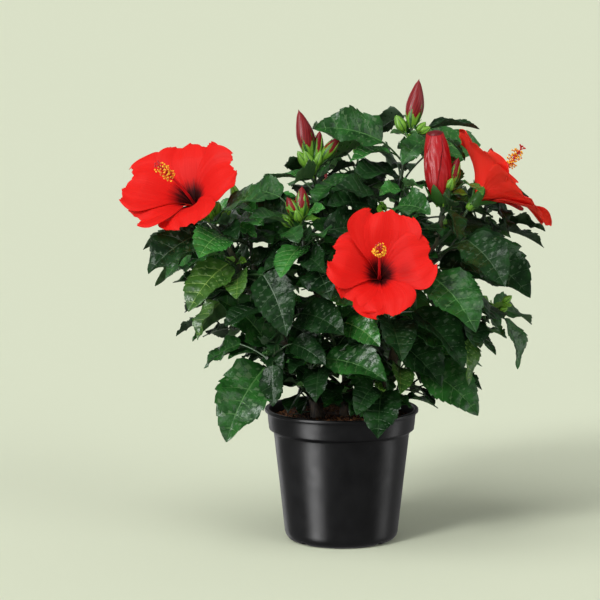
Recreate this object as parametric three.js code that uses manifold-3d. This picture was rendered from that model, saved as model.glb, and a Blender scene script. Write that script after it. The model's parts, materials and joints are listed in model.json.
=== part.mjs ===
// A potted hibiscus shrub in flower: a black nursery pot, three woody stems with their boughs,
// leafy shoots and three open blooms. Millimetres, +Z up, the flat underside of the pot at z = 0.

import * as THREE from "three";
import { mergeVertices } from "three/addons/utils/BufferGeometryUtils.js";
import Module from "manifold-3d";

const wasm = await Module();
wasm.setup();

// Clear space between two pieces that meet.
const GAP = 0.3;

// The pot: a tapered body, a wider band under the rim, and a small rolled lip.
const POT = {
  height: 147,
  footRadius: 54,
  bodyLowRadius: 62.8,
  bodyLowHeight: 9,
  bodyTopRadius: 75.2,
  bodyTopHeight: 121,
  bandLowRadius: 80.2,
  bandTopRadius: 82.1,
  bandLowHeight: 124.5,
  lipRadius: 85,
  lipHeight: 4,
  wall: 2,
  floor: 3,
  segments: 32,
  notches: 4,
  notchRadius: 5,
};
const COMPOST_TOP = 136;

// Leaves: the midrib bends down by "curl", the halves fold up by "fold", and the face turns
// towards the outside of the crown by up to "turnOut", all in degrees. "rings" are where the solid
// has its cross-sections: shares of the stalk back from the blade as minus, then of the blade.
const LEAF = {
  curl: 38,
  fold: 14,
  turnOut: 42,
  widthShare: 0.68,
  thickness: 1.6,
  petioleRadius: 1.1,
  petioleLift: 30,
  rings: [-0.95, 0, 0.25, 0.65],
};

// How a leaf is turned, in degrees of heading and pitch, and scaled, until it is clear of its
// neighbours.
const TURNS = [
  [0, 0, 1],
  [8, 0, 1],
  [-8, 0, 1],
  [0, 9, 1],
  [0, -9, 1],
  [16, 6, 1],
  [-16, 6, 1],
  [14, -12, 1],
  [-14, -12, 1],
  [26, 0, 0.95],
  [-26, 0, 0.95],
  [0, 18, 0.9],
  [36, -8, 0.85],
  [-36, -8, 0.85],
  [50, 8, 0.8],
  [-50, 8, 0.8],
];

// Clearance: half the space kept round a leaf, and the space kept round wood.
const LEAF_ROOM = 4.2;
const WOOD_ROOM = 1.2;
const OWN_SHARE = 0.7;
const POT_ZONE = { inside: 72, above: 142, outside: 91, rim: 153 };
const CROWN = { centre: [0, 8, 300], radii: [232, 208, 205] };

// Rule leaves: each node stands this far round the shoot from the last one, in degrees.
const NODE_TURN = 144;

// Stems rise from the compost: foot, lean at the foot as heading and pitch, tip, and two radii.
const STEMS = {
  stem_left: { foot: [-26, 6], lean: [150, 80], tip: [-64, -14, 226], radii: [6.5, 4.4] },
  stem_middle: { foot: [6, 14], lean: [60, 86], tip: [2, 12, 252], radii: [7, 4.6] },
  stem_right: { foot: [44, -8], lean: [-45, 80], tip: [98, -58, 337], radii: [6.5, 3.6] },
};

// How wood of each kind is rounded and divided, and how much wider it is at its foot.
const WOOD = {
  stem: { sides: 8, steps: 8, flare: 3 },
  bough: { sides: 6, steps: 4, flare: 0 },
  shoot: { sides: 5, steps: 3, flare: 0, radii: [2.5, 1.6] },
  flowerStalk: { sides: 5, steps: 4, flare: 0, radii: [2.4, 1.9] },
};
const FLARE_FALL = 18;

// Boughs: the limb and the share of its length they leave at, lean there, tip, and two radii.
// A bough that leaves at share 1 goes on from the limb's tip.
const BOUGHS = {
  bough_left: { from: ["stem_left", 1], tip: [-125, -60, 338], radii: [4.4, 2.8] },
  bough_left_upper: {
    from: ["stem_left", 0.85],
    lean: [170, 50],
    tip: [-98, -14, 316],
    radii: [3.4, 2.6],
  },
  bough_left_mid: {
    from: ["stem_left", 0.66],
    lean: [-160, 30],
    tip: [-102, -46, 262],
    radii: [3.4, 2.6],
  },
  bough_top_left: { from: ["stem_middle", 1], tip: [-20, 14, 352], radii: [4.6, 3] },
  bough_top: {
    from: ["stem_middle", 0.86],
    lean: [-10, 50],
    tip: [60, 6, 372],
    radii: [3.8, 2.9],
  },
  bough_front_left: {
    from: ["stem_middle", 0.72],
    lean: [-125, 40],
    tip: [-34, -58, 296],
    radii: [3.6, 2.7],
  },
  bough_front: {
    from: ["stem_middle", 0.48],
    lean: [-80, 35],
    tip: [30, -78, 244],
    radii: [3.6, 2.7],
  },
  bough_right_top: { from: ["stem_right", 1], tip: [105, -54, 359], radii: [3.6, 3] },
  bough_right_low: {
    from: ["stem_right", 0.42],
    lean: [-5, 30],
    tip: [122, -42, 236],
    radii: [3.4, 2.6],
  },
  bough_right_back: {
    from: ["stem_right", 0.8],
    lean: [50, 35],
    tip: [140, 30, 322],
    radii: [3, 2.5],
  },
  bough_back_left: {
    from: ["stem_left", 0.5],
    lean: [130, 45],
    tip: [-98, 62, 278],
    radii: [3.4, 2.6],
  },
  bough_back: {
    from: ["stem_middle", 0.62],
    lean: [100, 45],
    tip: [-8, 84, 300],
    radii: [3.6, 2.7],
  },
  bough_back_right: {
    from: ["stem_right", 0.3],
    lean: [70, 45],
    tip: [92, 66, 276],
    radii: [3.4, 2.6],
  },
  bough_back_top: {
    from: ["stem_middle", 0.78],
    lean: [70, 55],
    tip: [14, 52, 365],
    radii: [3.4, 2.7],
  },
};

// Masses of foliage: one leafy shoot each. "shown" leaves are those that the crown's outline is
// made of: share along the shoot, heading, pitch, blade length, stalk length and, where the face
// isn't turned by the rule, its roll. "more" is how many leaves the rule adds, and "buds" are
// share, heading, pitch, stalk, length, width.
const MASSES = {
  foliage_top_left: {
    from: ["bough_top_left", 1],
    tip: [-30, 8, 411],
    shown: [
      [0.5, 140, 10, 55, 30],
      [0.65, -55, 0, 60, 15],
      [0.5, 40, 35, 42, 25],
    ],
    buds: [
      [1, 180, 75, 14, 55, 17],
      [1, 40, 80, 8, 36, 12],
      [1, -20, 52, 16, 32, 12],
      [0.85, -160, 55, 12, 24, 11],
    ],
    more: 3,
  },
  foliage_top: {
    from: ["bough_top", 1],
    tip: [75, 5, 446],
    shown: [
      [0.6, 190, 30, 78, 35, 45],
      [0.9, -100, -20, 30, 10],
      [0.25, 20, 20, 85, 45, -45],
      [0.35, 220, 20, 62, 10, 30],
      [0.15, -60, 10, 48, 25],
    ],
    buds: [
      [1, 0, 82, 12, 54, 17],
      [1, 170, 55, 10, 20, 12],
      [1, -10, 30, 12, 14, 9],
    ],
    more: 3,
  },
  foliage_right_top: {
    from: ["bough_right_top", 1],
    tip: [112, -46, 388],
    shown: [
      [0.25, -75, -25, 45, 30],
      [0.7, 65, 50, 45, 25],
    ],
    buds: [
      [0.3, 150, 84, 9, 80, 30],
      [1, 10, 72, 9, 34, 13],
    ],
    more: 1,
  },
  foliage_left_top: {
    from: ["bough_left", 1],
    tip: [-143, -62, 360],
    shown: [
      [0.1, -125, 15, 66, 12, 30],
      [0.1, -160, -15, 78, 25, 40],
      [0.65, 185, -25, 52, 35],
      [0.4, 160, 0, 55, 20],
    ],
    buds: [],
    more: 2,
  },
  foliage_left_upper: {
    from: ["bough_left_upper", 1],
    tip: [-108, -4, 358],
    shown: [
      [0.7, 50, 35, 62, 12, -30],
      [0.4, -60, 15, 45, 10],
    ],
    buds: [[1, 180, 72, 20, 22, 10]],
    more: 5,
  },
  foliage_front_left: {
    from: ["bough_front_left", 1],
    tip: [-44, -74, 362],
    shown: [
      [0.5, 140, 25, 42, 25],
      [0.6, -115, -10, 58, 10],
      [1, 140, 20, 60, 40, 30],
      [1, -45, 35, 26, 15],
      [0.35, -70, -10, 72, 12],
    ],
    buds: [
      [1, 90, 86, 6, 34, 14],
      [0.95, 190, 62, 9, 26, 12],
      [0.8, 200, 40, 18, 16, 8],
    ],
    more: 3,
  },
  foliage_left_mid: {
    from: ["bough_left_mid", 1],
    tip: [-114, -58, 312],
    shown: [
      [1, -136, -20, 75, 14, 25],
      [0.8, -105, 5, 50, 10],
      [0.1, -170, -40, 48, 30],
      [0.76, -60, -38, 75, 45],
    ],
    buds: [],
    more: 5,
  },
  foliage_left_low: {
    from: ["stem_left", 0.45],
    lean: [-120, 25],
    tip: [-82, -72, 214],
    shown: [
      [0.75, 188, 55, 80, 25, 70],
      [1, 155, -15, 55, 35, 35],
      [0.15, -130, -30, 98, 65, 35],
      [0.85, -90, -60, 45, 30],
      [0.85, -35, -18, 66, 12],
    ],
    buds: [],
    more: 5,
  },
  foliage_centre_left: {
    from: ["stem_left", 0.75],
    lean: [-100, 25],
    tip: [-66, -74, 258],
    shown: [
      [0.75, -45, -5, 48, 12],
      [0.85, -45, 5, 68, 30],
      [1, -115, 5, 55, 35],
    ],
    buds: [],
    more: 6,
  },
  foliage_centre: {
    from: ["stem_middle", 0.34],
    lean: [-100, 30],
    tip: [-14, -78, 246],
    shown: [[1, -15, -5, 56, 25, -45]],
    buds: [],
    more: 6,
  },
  foliage_front: {
    from: ["bough_front", 0.6],
    lean: [-40, 20],
    tip: [50, -98, 262],
    shown: [
      [0.3, -20, -20, 88, 12],
      [1, -30, -25, 84, 30],
    ],
    buds: [],
    more: 5,
  },
  foliage_centre_top: {
    from: ["stem_right", 0.78],
    lean: [140, 40],
    tip: [50, -42, 366],
    shown: [
      [1, -55, 15, 58, 20, -40],
      [1, -140, 30, 60, 30],
    ],
    buds: [],
    more: 5,
  },
  foliage_right_mid: {
    from: ["stem_right", 0.72],
    lean: [-100, 25],
    tip: [86, -94, 300],
    shown: [
      [0.9, -55, -15, 92, 20, -25],
      [0.4, -95, -60, 42, 25],
    ],
    buds: [],
    more: 5,
  },
  foliage_right_upper: {
    from: ["stem_right", 0.9],
    lean: [0, 20],
    tip: [132, -56, 342],
    shown: [
      [0.15, -20, -15, 95, 35, -50],
      [0.35, -55, -15, 78, 50, -30],
    ],
    buds: [],
    more: 4,
  },
  foliage_right_low: {
    from: ["bough_right_low", 1],
    tip: [162, -50, 262],
    shown: [
      [0.85, -25, -55, 58, 20],
      [0.15, -85, 0, 68, 45],
      [0.1, -70, -55, 56, 12],
      [0.9, 110, 35, 24, 10],
    ],
    buds: [
      [1, -10, 40, 16, 13, 8],
      [0.9, -30, 25, 14, 11, 7],
    ],
    more: 5,
  },
  foliage_low_right: {
    from: ["stem_right", 0.2],
    lean: [-60, 30],
    tip: [84, -62, 200],
    shown: [
      [0.75, -15, -10, 82, 12, -45],
      [0.4, -55, 0, 58, 40],
      [0.15, 55, 35, 38, 12],
    ],
    buds: [],
    more: 6,
  },
  foliage_skirt: {
    from: ["stem_right", 0.08],
    lean: [-110, 25],
    tip: [44, -60, 172],
    shown: [
      [0.9, -95, -12, 76, 14, 0],
      [1, -115, -10, 50, 30],
    ],
    buds: [],
    more: 4,
  },
  foliage_skirt_left: {
    from: ["stem_left", 0.2],
    lean: [-100, 20],
    tip: [-44, -48, 176],
    shown: [
      [0.15, -105, 0, 45, 12],
      [1, -70, -10, 42, 12],
      [0.6, -40, 15, 50, 10],
    ],
    buds: [],
    more: 3,
  },
  foliage_right_back: {
    from: ["bough_right_back", 1],
    tip: [160, 44, 366],
    shown: [[0.95, -70, -15, 46, 32]],
    buds: [[1, 60, 78, 38, 30, 13]],
    more: 6,
  },
  foliage_back_left: {
    from: ["bough_back_left", 1],
    tip: [-126, 80, 322],
    shown: [],
    buds: [],
    more: 9,
  },
  foliage_back_left_low: {
    from: ["bough_back_left", 0.55],
    lean: [160, 10],
    tip: [-122, 50, 226],
    shown: [],
    buds: [],
    more: 9,
  },
  foliage_back: {
    from: ["bough_back", 1],
    tip: [-12, 108, 346],
    shown: [],
    buds: [[1, 120, 80, 14, 40, 14]],
    more: 9,
  },
  foliage_back_low: {
    from: ["stem_middle", 0.36],
    lean: [100, 30],
    tip: [-8, 98, 228],
    shown: [],
    buds: [],
    more: 8,
  },
  foliage_back_right: {
    from: ["bough_back_right", 1],
    tip: [114, 92, 318],
    shown: [],
    buds: [[1, 30, 70, 14, 24, 12]],
    more: 9,
  },
  foliage_back_right_low: {
    from: ["bough_back_right", 0.5],
    lean: [20, 15],
    tip: [124, 56, 222],
    shown: [],
    buds: [],
    more: 8,
  },
  foliage_back_top: {
    from: ["bough_back_top", 1],
    tip: [18, 66, 408],
    shown: [],
    buds: [[1, 60, 82, 12, 30, 12]],
    more: 8,
  },
  foliage_low_middle: {
    from: ["stem_middle", 0.2],
    lean: [-110, 35],
    tip: [-34, -84, 206],
    shown: [
      [1, -30, 5, 78, 20, -35],
      [0.8, -95, -20, 50, 12],
    ],
    buds: [],
    more: 3,
  },
  foliage_skirt_middle: {
    from: ["stem_middle", 0.1],
    lean: [-95, 35],
    tip: [2, -36, 166],
    shown: [
      [1, -60, 5, 52, 12],
      [1, -125, 0, 52, 12],
    ],
    buds: [],
    more: 3,
  },
  foliage_skirt_right: {
    from: ["stem_right", 0.12],
    lean: [-15, 30],
    tip: [80, -20, 178],
    shown: [[0.7, -70, 10, 48, 10]],
    buds: [],
    more: 3,
  },
};

// Blooms: the limb the flower stalk leaves, the heart of the flower where the petals meet, the
// way it faces, its petals as angle round the axis and length, and the length of the column.
const BLOOMS = {
  bloom_front: {
    from: ["bough_front", 1],
    heart: [37, -112, 313],
    facing: [-92, 25],
    petals: [
      [75, 74],
      [160, 70],
      [232, 66],
      [296, 70],
      [16, 76],
    ],
    column: 68,
  },
  bloom_left: {
    from: ["bough_left", 0.84],
    lean: [160, 60],
    heart: [-158, -39, 372],
    facing: [-118, 42],
    petals: [
      [18, 76],
      [80, 72],
      [190, 86],
      [226, 82],
      [288, 70],
    ],
    column: 66,
  },
  bloom_right: {
    from: ["stem_right", 0.96],
    lean: [30, 30],
    heart: [143, -38, 375],
    facing: [12, 42],
    petals: [
      [52, 82],
      [124, 80],
      [196, 84],
      [268, 90],
      [340, 82],
    ],
    column: 74,
  },
};
const PETAL = {
  startTilt: 24,
  endTilt: 88,
  widthShare: 0.86,
  thickness: 1.3,
  cup: 0.1,
  overlap: 0.12,
  lengthSteps: 4,
  acrossSteps: 2,
  heartRadius: 2,
};
const CALYX = { back: 9, front: 14, radius: 8 };

const rad = THREE.MathUtils.degToRad;
const mix = THREE.MathUtils.lerp;
const UP = new THREE.Vector3(0, 0, 1);

/** A vector from three numbers in a row. */
function vector(row) {
  return new THREE.Vector3(...row);
}

/** The unit vector at a heading, counted from +X towards +Y, and a pitch above the level. */
function direction(heading, pitch) {
  const level = Math.cos(rad(pitch));
  return new THREE.Vector3(
    Math.cos(rad(heading)) * level,
    Math.sin(rad(heading)) * level,
    Math.sin(rad(pitch)),
  );
}

/** A point moved along a vector. */
function moved(point, along, distance) {
  return point.clone().addScaledVector(along, distance);
}

/** Repeatable numbers between 0 and 1. */
function seeded(seed) {
  let state = seed >>> 0;
  return () => {
    state = (Math.imul(state, 1664525) + 1013904223) >>> 0;
    return state / 4294967296;
  };
}

/** A closed solid from a geometry. */
function solid(geometry) {
  const bare = geometry.clone();
  bare.deleteAttribute("normal");
  bare.deleteAttribute("uv");
  const joined = mergeVertices(bare, 1e-5);
  const mesh = new wasm.Mesh({
    numProp: 3,
    vertProperties: new Float32Array(joined.attributes.position.array),
    triVerts: new Uint32Array(joined.index.array),
  });
  return new wasm.Manifold(mesh);
}

/** One solid from many that meet. */
function fused(solids) {
  return solids.reduce((whole, piece) => whole.add(piece));
}

/** A geometry from a solid. */
function geometryOf(whole) {
  const mesh = whole.getMesh();
  const count = mesh.vertProperties.length / mesh.numProp;
  const positions = new Float32Array(count * 3);
  for (let i = 0; i < count; i += 1) {
    for (let axis = 0; axis < 3; axis += 1) {
      positions[3 * i + axis] = mesh.vertProperties[mesh.numProp * i + axis];
    }
  }
  const geometry = new THREE.BufferGeometry();
  geometry.setAttribute("position", new THREE.BufferAttribute(positions, 3));
  geometry.setIndex(new THREE.BufferAttribute(new Uint32Array(mesh.triVerts), 1));
  geometry.computeVertexNormals();
  return geometry;
}

/** Every vertex of a geometry put where a function of its old place says. */
function reshaped(geometry, place) {
  const positions = geometry.attributes.position;
  const old = new THREE.Vector3();
  for (let i = 0; i < positions.count; i += 1) {
    old.fromBufferAttribute(positions, i);
    const now = place(old);
    positions.setXYZ(i, now.x, now.y, now.z);
  }
  return geometry;
}

/** A round bar along a curve, with a radius that changes along it. */
function bar(curve, radiusAt, sides, steps) {
  const frames = curve.computeFrenetFrames(steps, false);
  return reshaped(new THREE.CylinderGeometry(1, 1, 1, sides, steps), (old) => {
    const step = Math.round((0.5 + old.y) * steps);
    const share = step / steps;
    const radius = radiusAt(share);
    const point = curve.getPointAt(share);
    point.addScaledVector(frames.binormals[step], old.x * radius);
    return point.addScaledVector(frames.normals[step], old.z * radius);
  });
}

/** A limb or a shoot: a bent, tapering round of wood. */
class Branch {
  constructor(start, lean, tip, kind, radii = kind.radii) {
    const reach = start.distanceTo(tip) / 2;
    this.kind = kind;
    this.radii = radii;
    this.curve = new THREE.QuadraticBezierCurve3(start, moved(start, lean, reach), tip);
  }

  /** The branch that leaves another at a share of its length, or goes on from its tip. */
  static from(parent, share, lean, tip, kind, radii) {
    if (share < 1) {
      return new Branch(parent.at(share), direction(...lean), tip, kind, radii);
    }
    const on = parent.curve.getTangent(1);
    return new Branch(moved(parent.at(1), on, GAP), on, tip, kind, radii);
  }

  at(share) {
    return this.curve.getPoint(share);
  }

  radiusAt(share) {
    const flare = this.kind.flare * Math.exp(-FLARE_FALL * share);
    return mix(this.radii[0], this.radii[1], share) + flare;
  }

  /** The branch, or with a margin what is cut from all that leaves its side. */
  solid(margin = 0) {
    const { sides, steps } = this.kind;
    const more = margin / Math.cos(Math.PI / sides);
    return solid(bar(this.curve, (share) => this.radiusAt(share) + more, sides, steps));
  }

  /** Balls that mark the room the branch takes. */
  room() {
    const steps = Math.ceil(this.curve.getLength() / 4);
    const balls = [];
    for (let i = 0; i <= steps; i += 1) {
      balls.push({ at: this.at(i / steps), radius: this.radiusAt(i / steps) + WOOD_ROOM });
    }
    return balls;
  }
}

/** The level and the upward part of a run of length 1 that starts at one pitch and bends evenly. */
function arc(pitch, bend, share) {
  const start = rad(pitch);
  const turn = rad(bend);
  const now = start - turn * share;
  return [
    (Math.sin(start) - Math.sin(now)) / turn,
    (Math.cos(now) - Math.cos(start)) / turn,
  ];
}

/** How wide a leaf is along its length, 1 where it is widest. */
function leafWidth(share) {
  return 2.68 * share ** 0.55 * (1 - share) ** 0.95;
}

/** A leaf on its stalk, which leaves a shoot at a node. */
class Leaf {
  constructor(node, heading, pitch, length, stalk, roll) {
    this.node = node;
    this.heading = heading;
    this.pitch = pitch;
    this.length = length;
    this.base = moved(node, direction(heading, pitch / 2 + LEAF.petioleLift), stalk);
    this.ahead = direction(heading, 0);
    this.side = new THREE.Vector3().crossVectors(UP, this.ahead);
    const outside = this.base.clone().setZ(0).normalize();
    this.roll = rad(roll ?? LEAF.turnOut * this.side.dot(outside));
  }

  /** A point of the blade: share along the midrib, across from -1 to 1, and lift off the face. */
  point(share, across, lift) {
    const [run, rise] = arc(this.pitch, LEAF.curl, share);
    const half = (this.length * LEAF.widthShare * leafWidth(share)) / 2;
    const flatFace = direction(this.heading, this.pitch - LEAF.curl * share + 90);
    const face = flatFace.clone().multiplyScalar(Math.cos(this.roll));
    face.addScaledVector(this.side, Math.sin(this.roll));
    const side = this.side.clone().multiplyScalar(Math.cos(this.roll));
    side.addScaledVector(flatFace, -Math.sin(this.roll));
    const point = moved(this.base, this.ahead, run * this.length);
    point.addScaledVector(UP, rise * this.length);
    point.addScaledVector(side, across * half * Math.cos(rad(LEAF.fold)));
    return point.addScaledVector(face, Math.abs(across) * half * Math.sin(rad(LEAF.fold)) + lift);
  }

  /** A corner of one of the cross-sections, across and lift each from -1 to 1. */
  corner(share, across, lift) {
    if (share > 0) {
      return this.point(share, across, (lift * LEAF.thickness) / 2);
    }
    const point = this.base.clone().lerp(this.node, -share);
    point.addScaledVector(this.side, across * LEAF.petioleRadius);
    return point.addScaledVector(UP, lift * LEAF.petioleRadius);
  }

  solid() {
    const count = LEAF.rings.length + 1;
    const form = reshaped(new THREE.SphereGeometry(1, 4, count), (old) => {
      const ring = Math.round((Math.acos(THREE.MathUtils.clamp(old.y, -1, 1)) / Math.PI) * count);
      if (ring === 0) {
        return this.node;
      }
      if (ring === count) {
        return this.point(1, 0, 0);
      }
      const spread = Math.sin((Math.PI * ring) / count);
      return this.corner(LEAF.rings[ring - 1], old.x / spread, old.z / spread);
    });
    return solid(form);
  }

  /** Balls that mark the room the leaf takes. */
  room() {
    const balls = [];
    for (let i = 0; i < 11; i += 1) {
      for (let j = -3; j <= 3; j += 1) {
        balls.push({ at: this.point(0.05 + 0.09 * i, 0.3 * j, 0), radius: LEAF_ROOM, blade: true });
      }
    }
    const steps = 4;
    for (let i = 2; i < steps; i += 1) {
      balls.push({ at: this.node.clone().lerp(this.base, i / steps), radius: LEAF_ROOM / 2 });
    }
    return balls;
  }
}

/** A flower bud on its stalk, egg-shaped with a pointed tip. */
class Bud {
  constructor(node, heading, pitch, stalk, length, width) {
    this.stalk = stalk;
    this.length = length;
    this.width = width;
    this.node = node;
    this.along = direction(heading, pitch);
  }

  at(distance) {
    return moved(this.node, this.along, distance);
  }

  widthAt(share) {
    return (this.width / 2) * (0.16 + 0.84 * Math.sin(Math.PI * Math.min(1, share) ** 0.75));
  }

  solid() {
    const stalk = new THREE.LineCurve3(this.node, this.at(this.stalk + 2));
    const body = new THREE.LineCurve3(this.at(this.stalk), this.at(this.stalk + this.length));
    return [
      solid(bar(stalk, () => 1.3, 3, 1)),
      solid(bar(body, (s) => this.widthAt(s), 6, 4)),
    ];
  }

  room() {
    const balls = [];
    const steps = Math.ceil(this.length / 5);
    for (let i = 0; i <= steps; i += 1) {
      const share = i / steps;
      const radius = this.widthAt(share) + WOOD_ROOM;
      balls.push({ at: this.at(this.stalk + share * this.length), radius });
    }
    for (let d = 6; d < this.stalk; d += 4) {
      balls.push({ at: this.at(d), radius: 1.3 + WOOD_ROOM });
    }
    return balls;
  }
}

/** An open bloom: stalk, calyx, five overlapping petals and the column in the middle. */
class Bloom {
  constructor(stalk, heart, facing, petals, column) {
    this.stalk = stalk;
    this.heart = heart;
    this.axis = direction(...facing);
    this.high = direction(facing[0], facing[1] + 90);
    this.right = new THREE.Vector3().crossVectors(this.high, this.axis);
    this.petals = petals;
    this.column = column;
  }

  /** A point of a petal: share of its length, across from -1 to 1, and lift off the inner face. */
  petalPoint(angle, length, share, across, lift) {
    const out = this.right.clone().multiplyScalar(Math.cos(rad(angle)));
    out.addScaledVector(this.high, Math.sin(rad(angle)));
    const round = new THREE.Vector3().crossVectors(this.axis, out);
    const opening = PETAL.endTilt - PETAL.startTilt;
    const [outward, along] = arc(90 - PETAL.startTilt, opening, share);
    const tilt = rad(PETAL.startTilt + opening * share);
    const inner = this.axis.clone().multiplyScalar(Math.sin(tilt));
    inner.addScaledVector(out, -Math.cos(tilt));
    const half = (length * PETAL.widthShare * petalWidth(share)) / 2;
    const rise = (across * across * PETAL.cup + across * PETAL.overlap) * half;
    const point = moved(this.heart, this.axis, along * length);
    point.addScaledVector(out, outward * length + PETAL.heartRadius);
    point.addScaledVector(round, across * half);
    return point.addScaledVector(inner, rise + lift);
  }

  /** The middle line of the column, which rises a little towards its tip. */
  columnCurve() {
    const middle = moved(this.heart, this.axis, this.column / 2);
    const tip = moved(moved(this.heart, this.axis, this.column), this.high, this.column * 0.1);
    return new THREE.QuadraticBezierCurve3(moved(this.heart, this.axis, -2), middle, tip);
  }

  solid() {
    const petals = this.petals.map(([angle, length]) => {
      const sheet = new THREE.BoxGeometry(2, 1, 1, PETAL.acrossSteps, PETAL.lengthSteps, 1);
      const place = (old) => {
        return this.petalPoint(angle, length, old.y + 0.5, old.x, -old.z * PETAL.thickness);
      };
      return solid(reshaped(sheet, place));
    });
    const calyx = new THREE.LineCurve3(
      moved(this.heart, this.axis, -CALYX.back),
      moved(this.heart, this.axis, CALYX.front),
    );
    const calyxRadius = (share) => CALYX.radius * (0.3 + 0.7 * Math.sqrt(share));
    return [
      ...petals,
      solid(bar(calyx, calyxRadius, 7, 2)),
      solid(bar(this.columnCurve(), (share) => (share < 0.5 ? 1.7 : 3.4), 5, 4)),
    ];
  }

  /** Balls that mark the room the bloom takes. */
  room() {
    const balls = [];
    for (const [angle, length] of this.petals) {
      for (let i = 0; i <= 8; i += 1) {
        for (let j = -3; j <= 3; j += 1) {
          balls.push({ at: this.petalPoint(angle, length, i / 8, j / 3, 0), radius: LEAF_ROOM });
        }
      }
    }
    const column = this.columnCurve();
    for (let i = 0; i <= 12; i += 1) {
      balls.push({ at: column.getPoint(i / 12), radius: LEAF_ROOM });
    }
    return [...balls, ...this.stalk.room()];
  }
}

/** How wide a petal is along its length, 1 where it is widest. */
function petalWidth(share) {
  const spread = 0.16 + 0.84 * Math.sin((Math.PI / 2) * Math.min(1, share / 0.66) ** 1.2);
  const past = Math.max(0, share - 0.66) / 0.36;
  return spread * Math.sqrt(1 - past * past);
}

/** The room already taken, owner by owner, and whether something new is clear of it. */
class Taken {
  constructor() {
    this.parts = [];
  }

  static bounds(balls) {
    const box = new THREE.Box3();
    for (const ball of balls) {
      box.expandByPoint(ball.at);
    }
    const sphere = box.getBoundingSphere(new THREE.Sphere());
    return { centre: sphere.center, reach: sphere.radius + 10 };
  }

  add(owner, balls) {
    this.parts.push({ owner, balls, ...Taken.bounds(balls) });
  }

  /** Whether the balls of an owner's new leaf are clear of everything else. */
  clear(owner, balls) {
    const { centre, reach } = Taken.bounds(balls);
    const near = this.parts.filter((part) => part.centre.distanceTo(centre) < part.reach + reach);
    for (const ball of balls) {
      const radius = Math.hypot(ball.at.x, ball.at.y);
      const floor = radius < POT_ZONE.inside ? POT_ZONE.above : POT_ZONE.rim;
      if (radius < POT_ZONE.outside && ball.at.z < floor) {
        return false;
      }
      for (const part of near) {
        const own = part.owner === owner;
        for (const other of part.balls) {
          if (own && !(ball.blade && other.blade)) {
            continue;
          }
          const room = (ball.radius + other.radius) * (own ? OWN_SHARE : 1);
          if (ball.at.distanceToSquared(other.at) < room * room) {
            return false;
          }
        }
      }
    }
    return true;
  }
}

/** Whether every ball lies inside the crown. */
function inCrown(balls) {
  return balls.every((ball) => {
    const part = (axis, i) => (ball.at[axis] - CROWN.centre[i]) / CROWN.radii[i];
    return Math.hypot(part("x", 0), part("y", 1), part("z", 2)) < 1;
  });
}

/** The first turn of a leaf that is clear, or nothing. */
function placed(taken, owner, node, [heading, pitch, length, stalk, roll], bounded) {
  for (const [turn, dip, scale] of TURNS) {
    const leaf = new Leaf(node, heading + turn, pitch + dip, length * scale, stalk * scale, roll);
    const balls = leaf.room();
    if ((!bounded || inCrown(balls)) && taken.clear(owner, balls)) {
      taken.add(owner, balls);
      return leaf;
    }
  }
  return null;
}

/** The rule for one more leaf on a shoot: its share along it, heading, pitch, length and stalk. */
function ruleLeaf(index, count, first, random) {
  const share = mix(0.25, 1, (index + 0.5) / count);
  const heading = first + NODE_TURN * index + (random() - 0.5) * 40;
  const pitch = mix(-15, 30, share) + (random() - 0.5) * 30;
  const length = mix(56, 84, random());
  return [share, heading, pitch, length, length * mix(0.3, 0.5, random())];
}

/** The pot as a turned shell with a flat underside and shallow notches in its foot. */
function pot() {
  const { wall } = POT;
  const lipTop = POT.height;
  const profile = [
    [0, 0],
    [POT.footRadius, 0],
    [POT.footRadius + 5.5, 2.5],
    [POT.bodyLowRadius, POT.bodyLowHeight],
    [POT.bodyTopRadius, POT.bodyTopHeight],
    [POT.bandLowRadius, POT.bandLowHeight],
    [POT.bandTopRadius, lipTop - POT.lipHeight],
    [POT.lipRadius, lipTop - POT.lipHeight + 0.5],
    [POT.lipRadius, lipTop - 0.8],
    [POT.lipRadius - 1, lipTop],
    [POT.bandTopRadius - wall, lipTop],
    [POT.bandLowRadius - wall, POT.bandLowHeight],
    [POT.bodyTopRadius - wall, POT.bodyTopHeight],
    [POT.bodyLowRadius - wall, POT.bodyLowHeight + 5],
    [POT.footRadius - 4, POT.floor],
    [0, POT.floor],
  ];
  const points = profile.map(([x, y]) => new THREE.Vector2(x, y));
  const shell = new THREE.LatheGeometry(points, POT.segments).rotateX(Math.PI / 2);
  let whole = solid(shell);
  for (let i = 0; i < POT.notches; i += 1) {
    const turn = (i + 0.5) * ((2 * Math.PI) / POT.notches);
    const cut = new THREE.CylinderGeometry(POT.notchRadius, POT.notchRadius, 20, 12);
    cut.rotateZ(Math.PI / 2).translate(POT.footRadius + 13, 0, 0).rotateZ(turn);
    whole = whole.subtract(solid(cut));
  }
  return whole;
}

/** The compost that fills the pot, clear of its wall. */
function compost() {
  const inset = POT.wall + GAP;
  const topRadius = mix(
    POT.bandLowRadius,
    POT.bandTopRadius,
    (COMPOST_TOP - POT.bandLowHeight) / (POT.height - POT.lipHeight - POT.bandLowHeight),
  );
  const profile = [
    [0, POT.floor + GAP],
    [POT.footRadius - 4 - GAP, POT.floor + GAP],
    [POT.bodyLowRadius - inset - GAP, POT.bodyLowHeight + 5 + GAP],
    [POT.bodyTopRadius - inset, POT.bodyTopHeight + GAP],
    [POT.bandLowRadius - inset - GAP, POT.bandLowHeight + GAP],
    [topRadius - inset - GAP, COMPOST_TOP],
    [0, COMPOST_TOP],
  ];
  const points = profile.map(([x, y]) => new THREE.Vector2(x, y));
  return solid(new THREE.LatheGeometry(points, POT.segments).rotateX(Math.PI / 2));
}

/** A stem from a level cut just above the compost. */
function stemSolid(branch) {
  const below = new THREE.BoxGeometry(200, 200, 40).translate(0, 0, COMPOST_TOP + GAP - 20);
  return branch.solid().subtract(solid(below));
}

const group = new THREE.Group();
group.name = "hibiscus";

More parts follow.
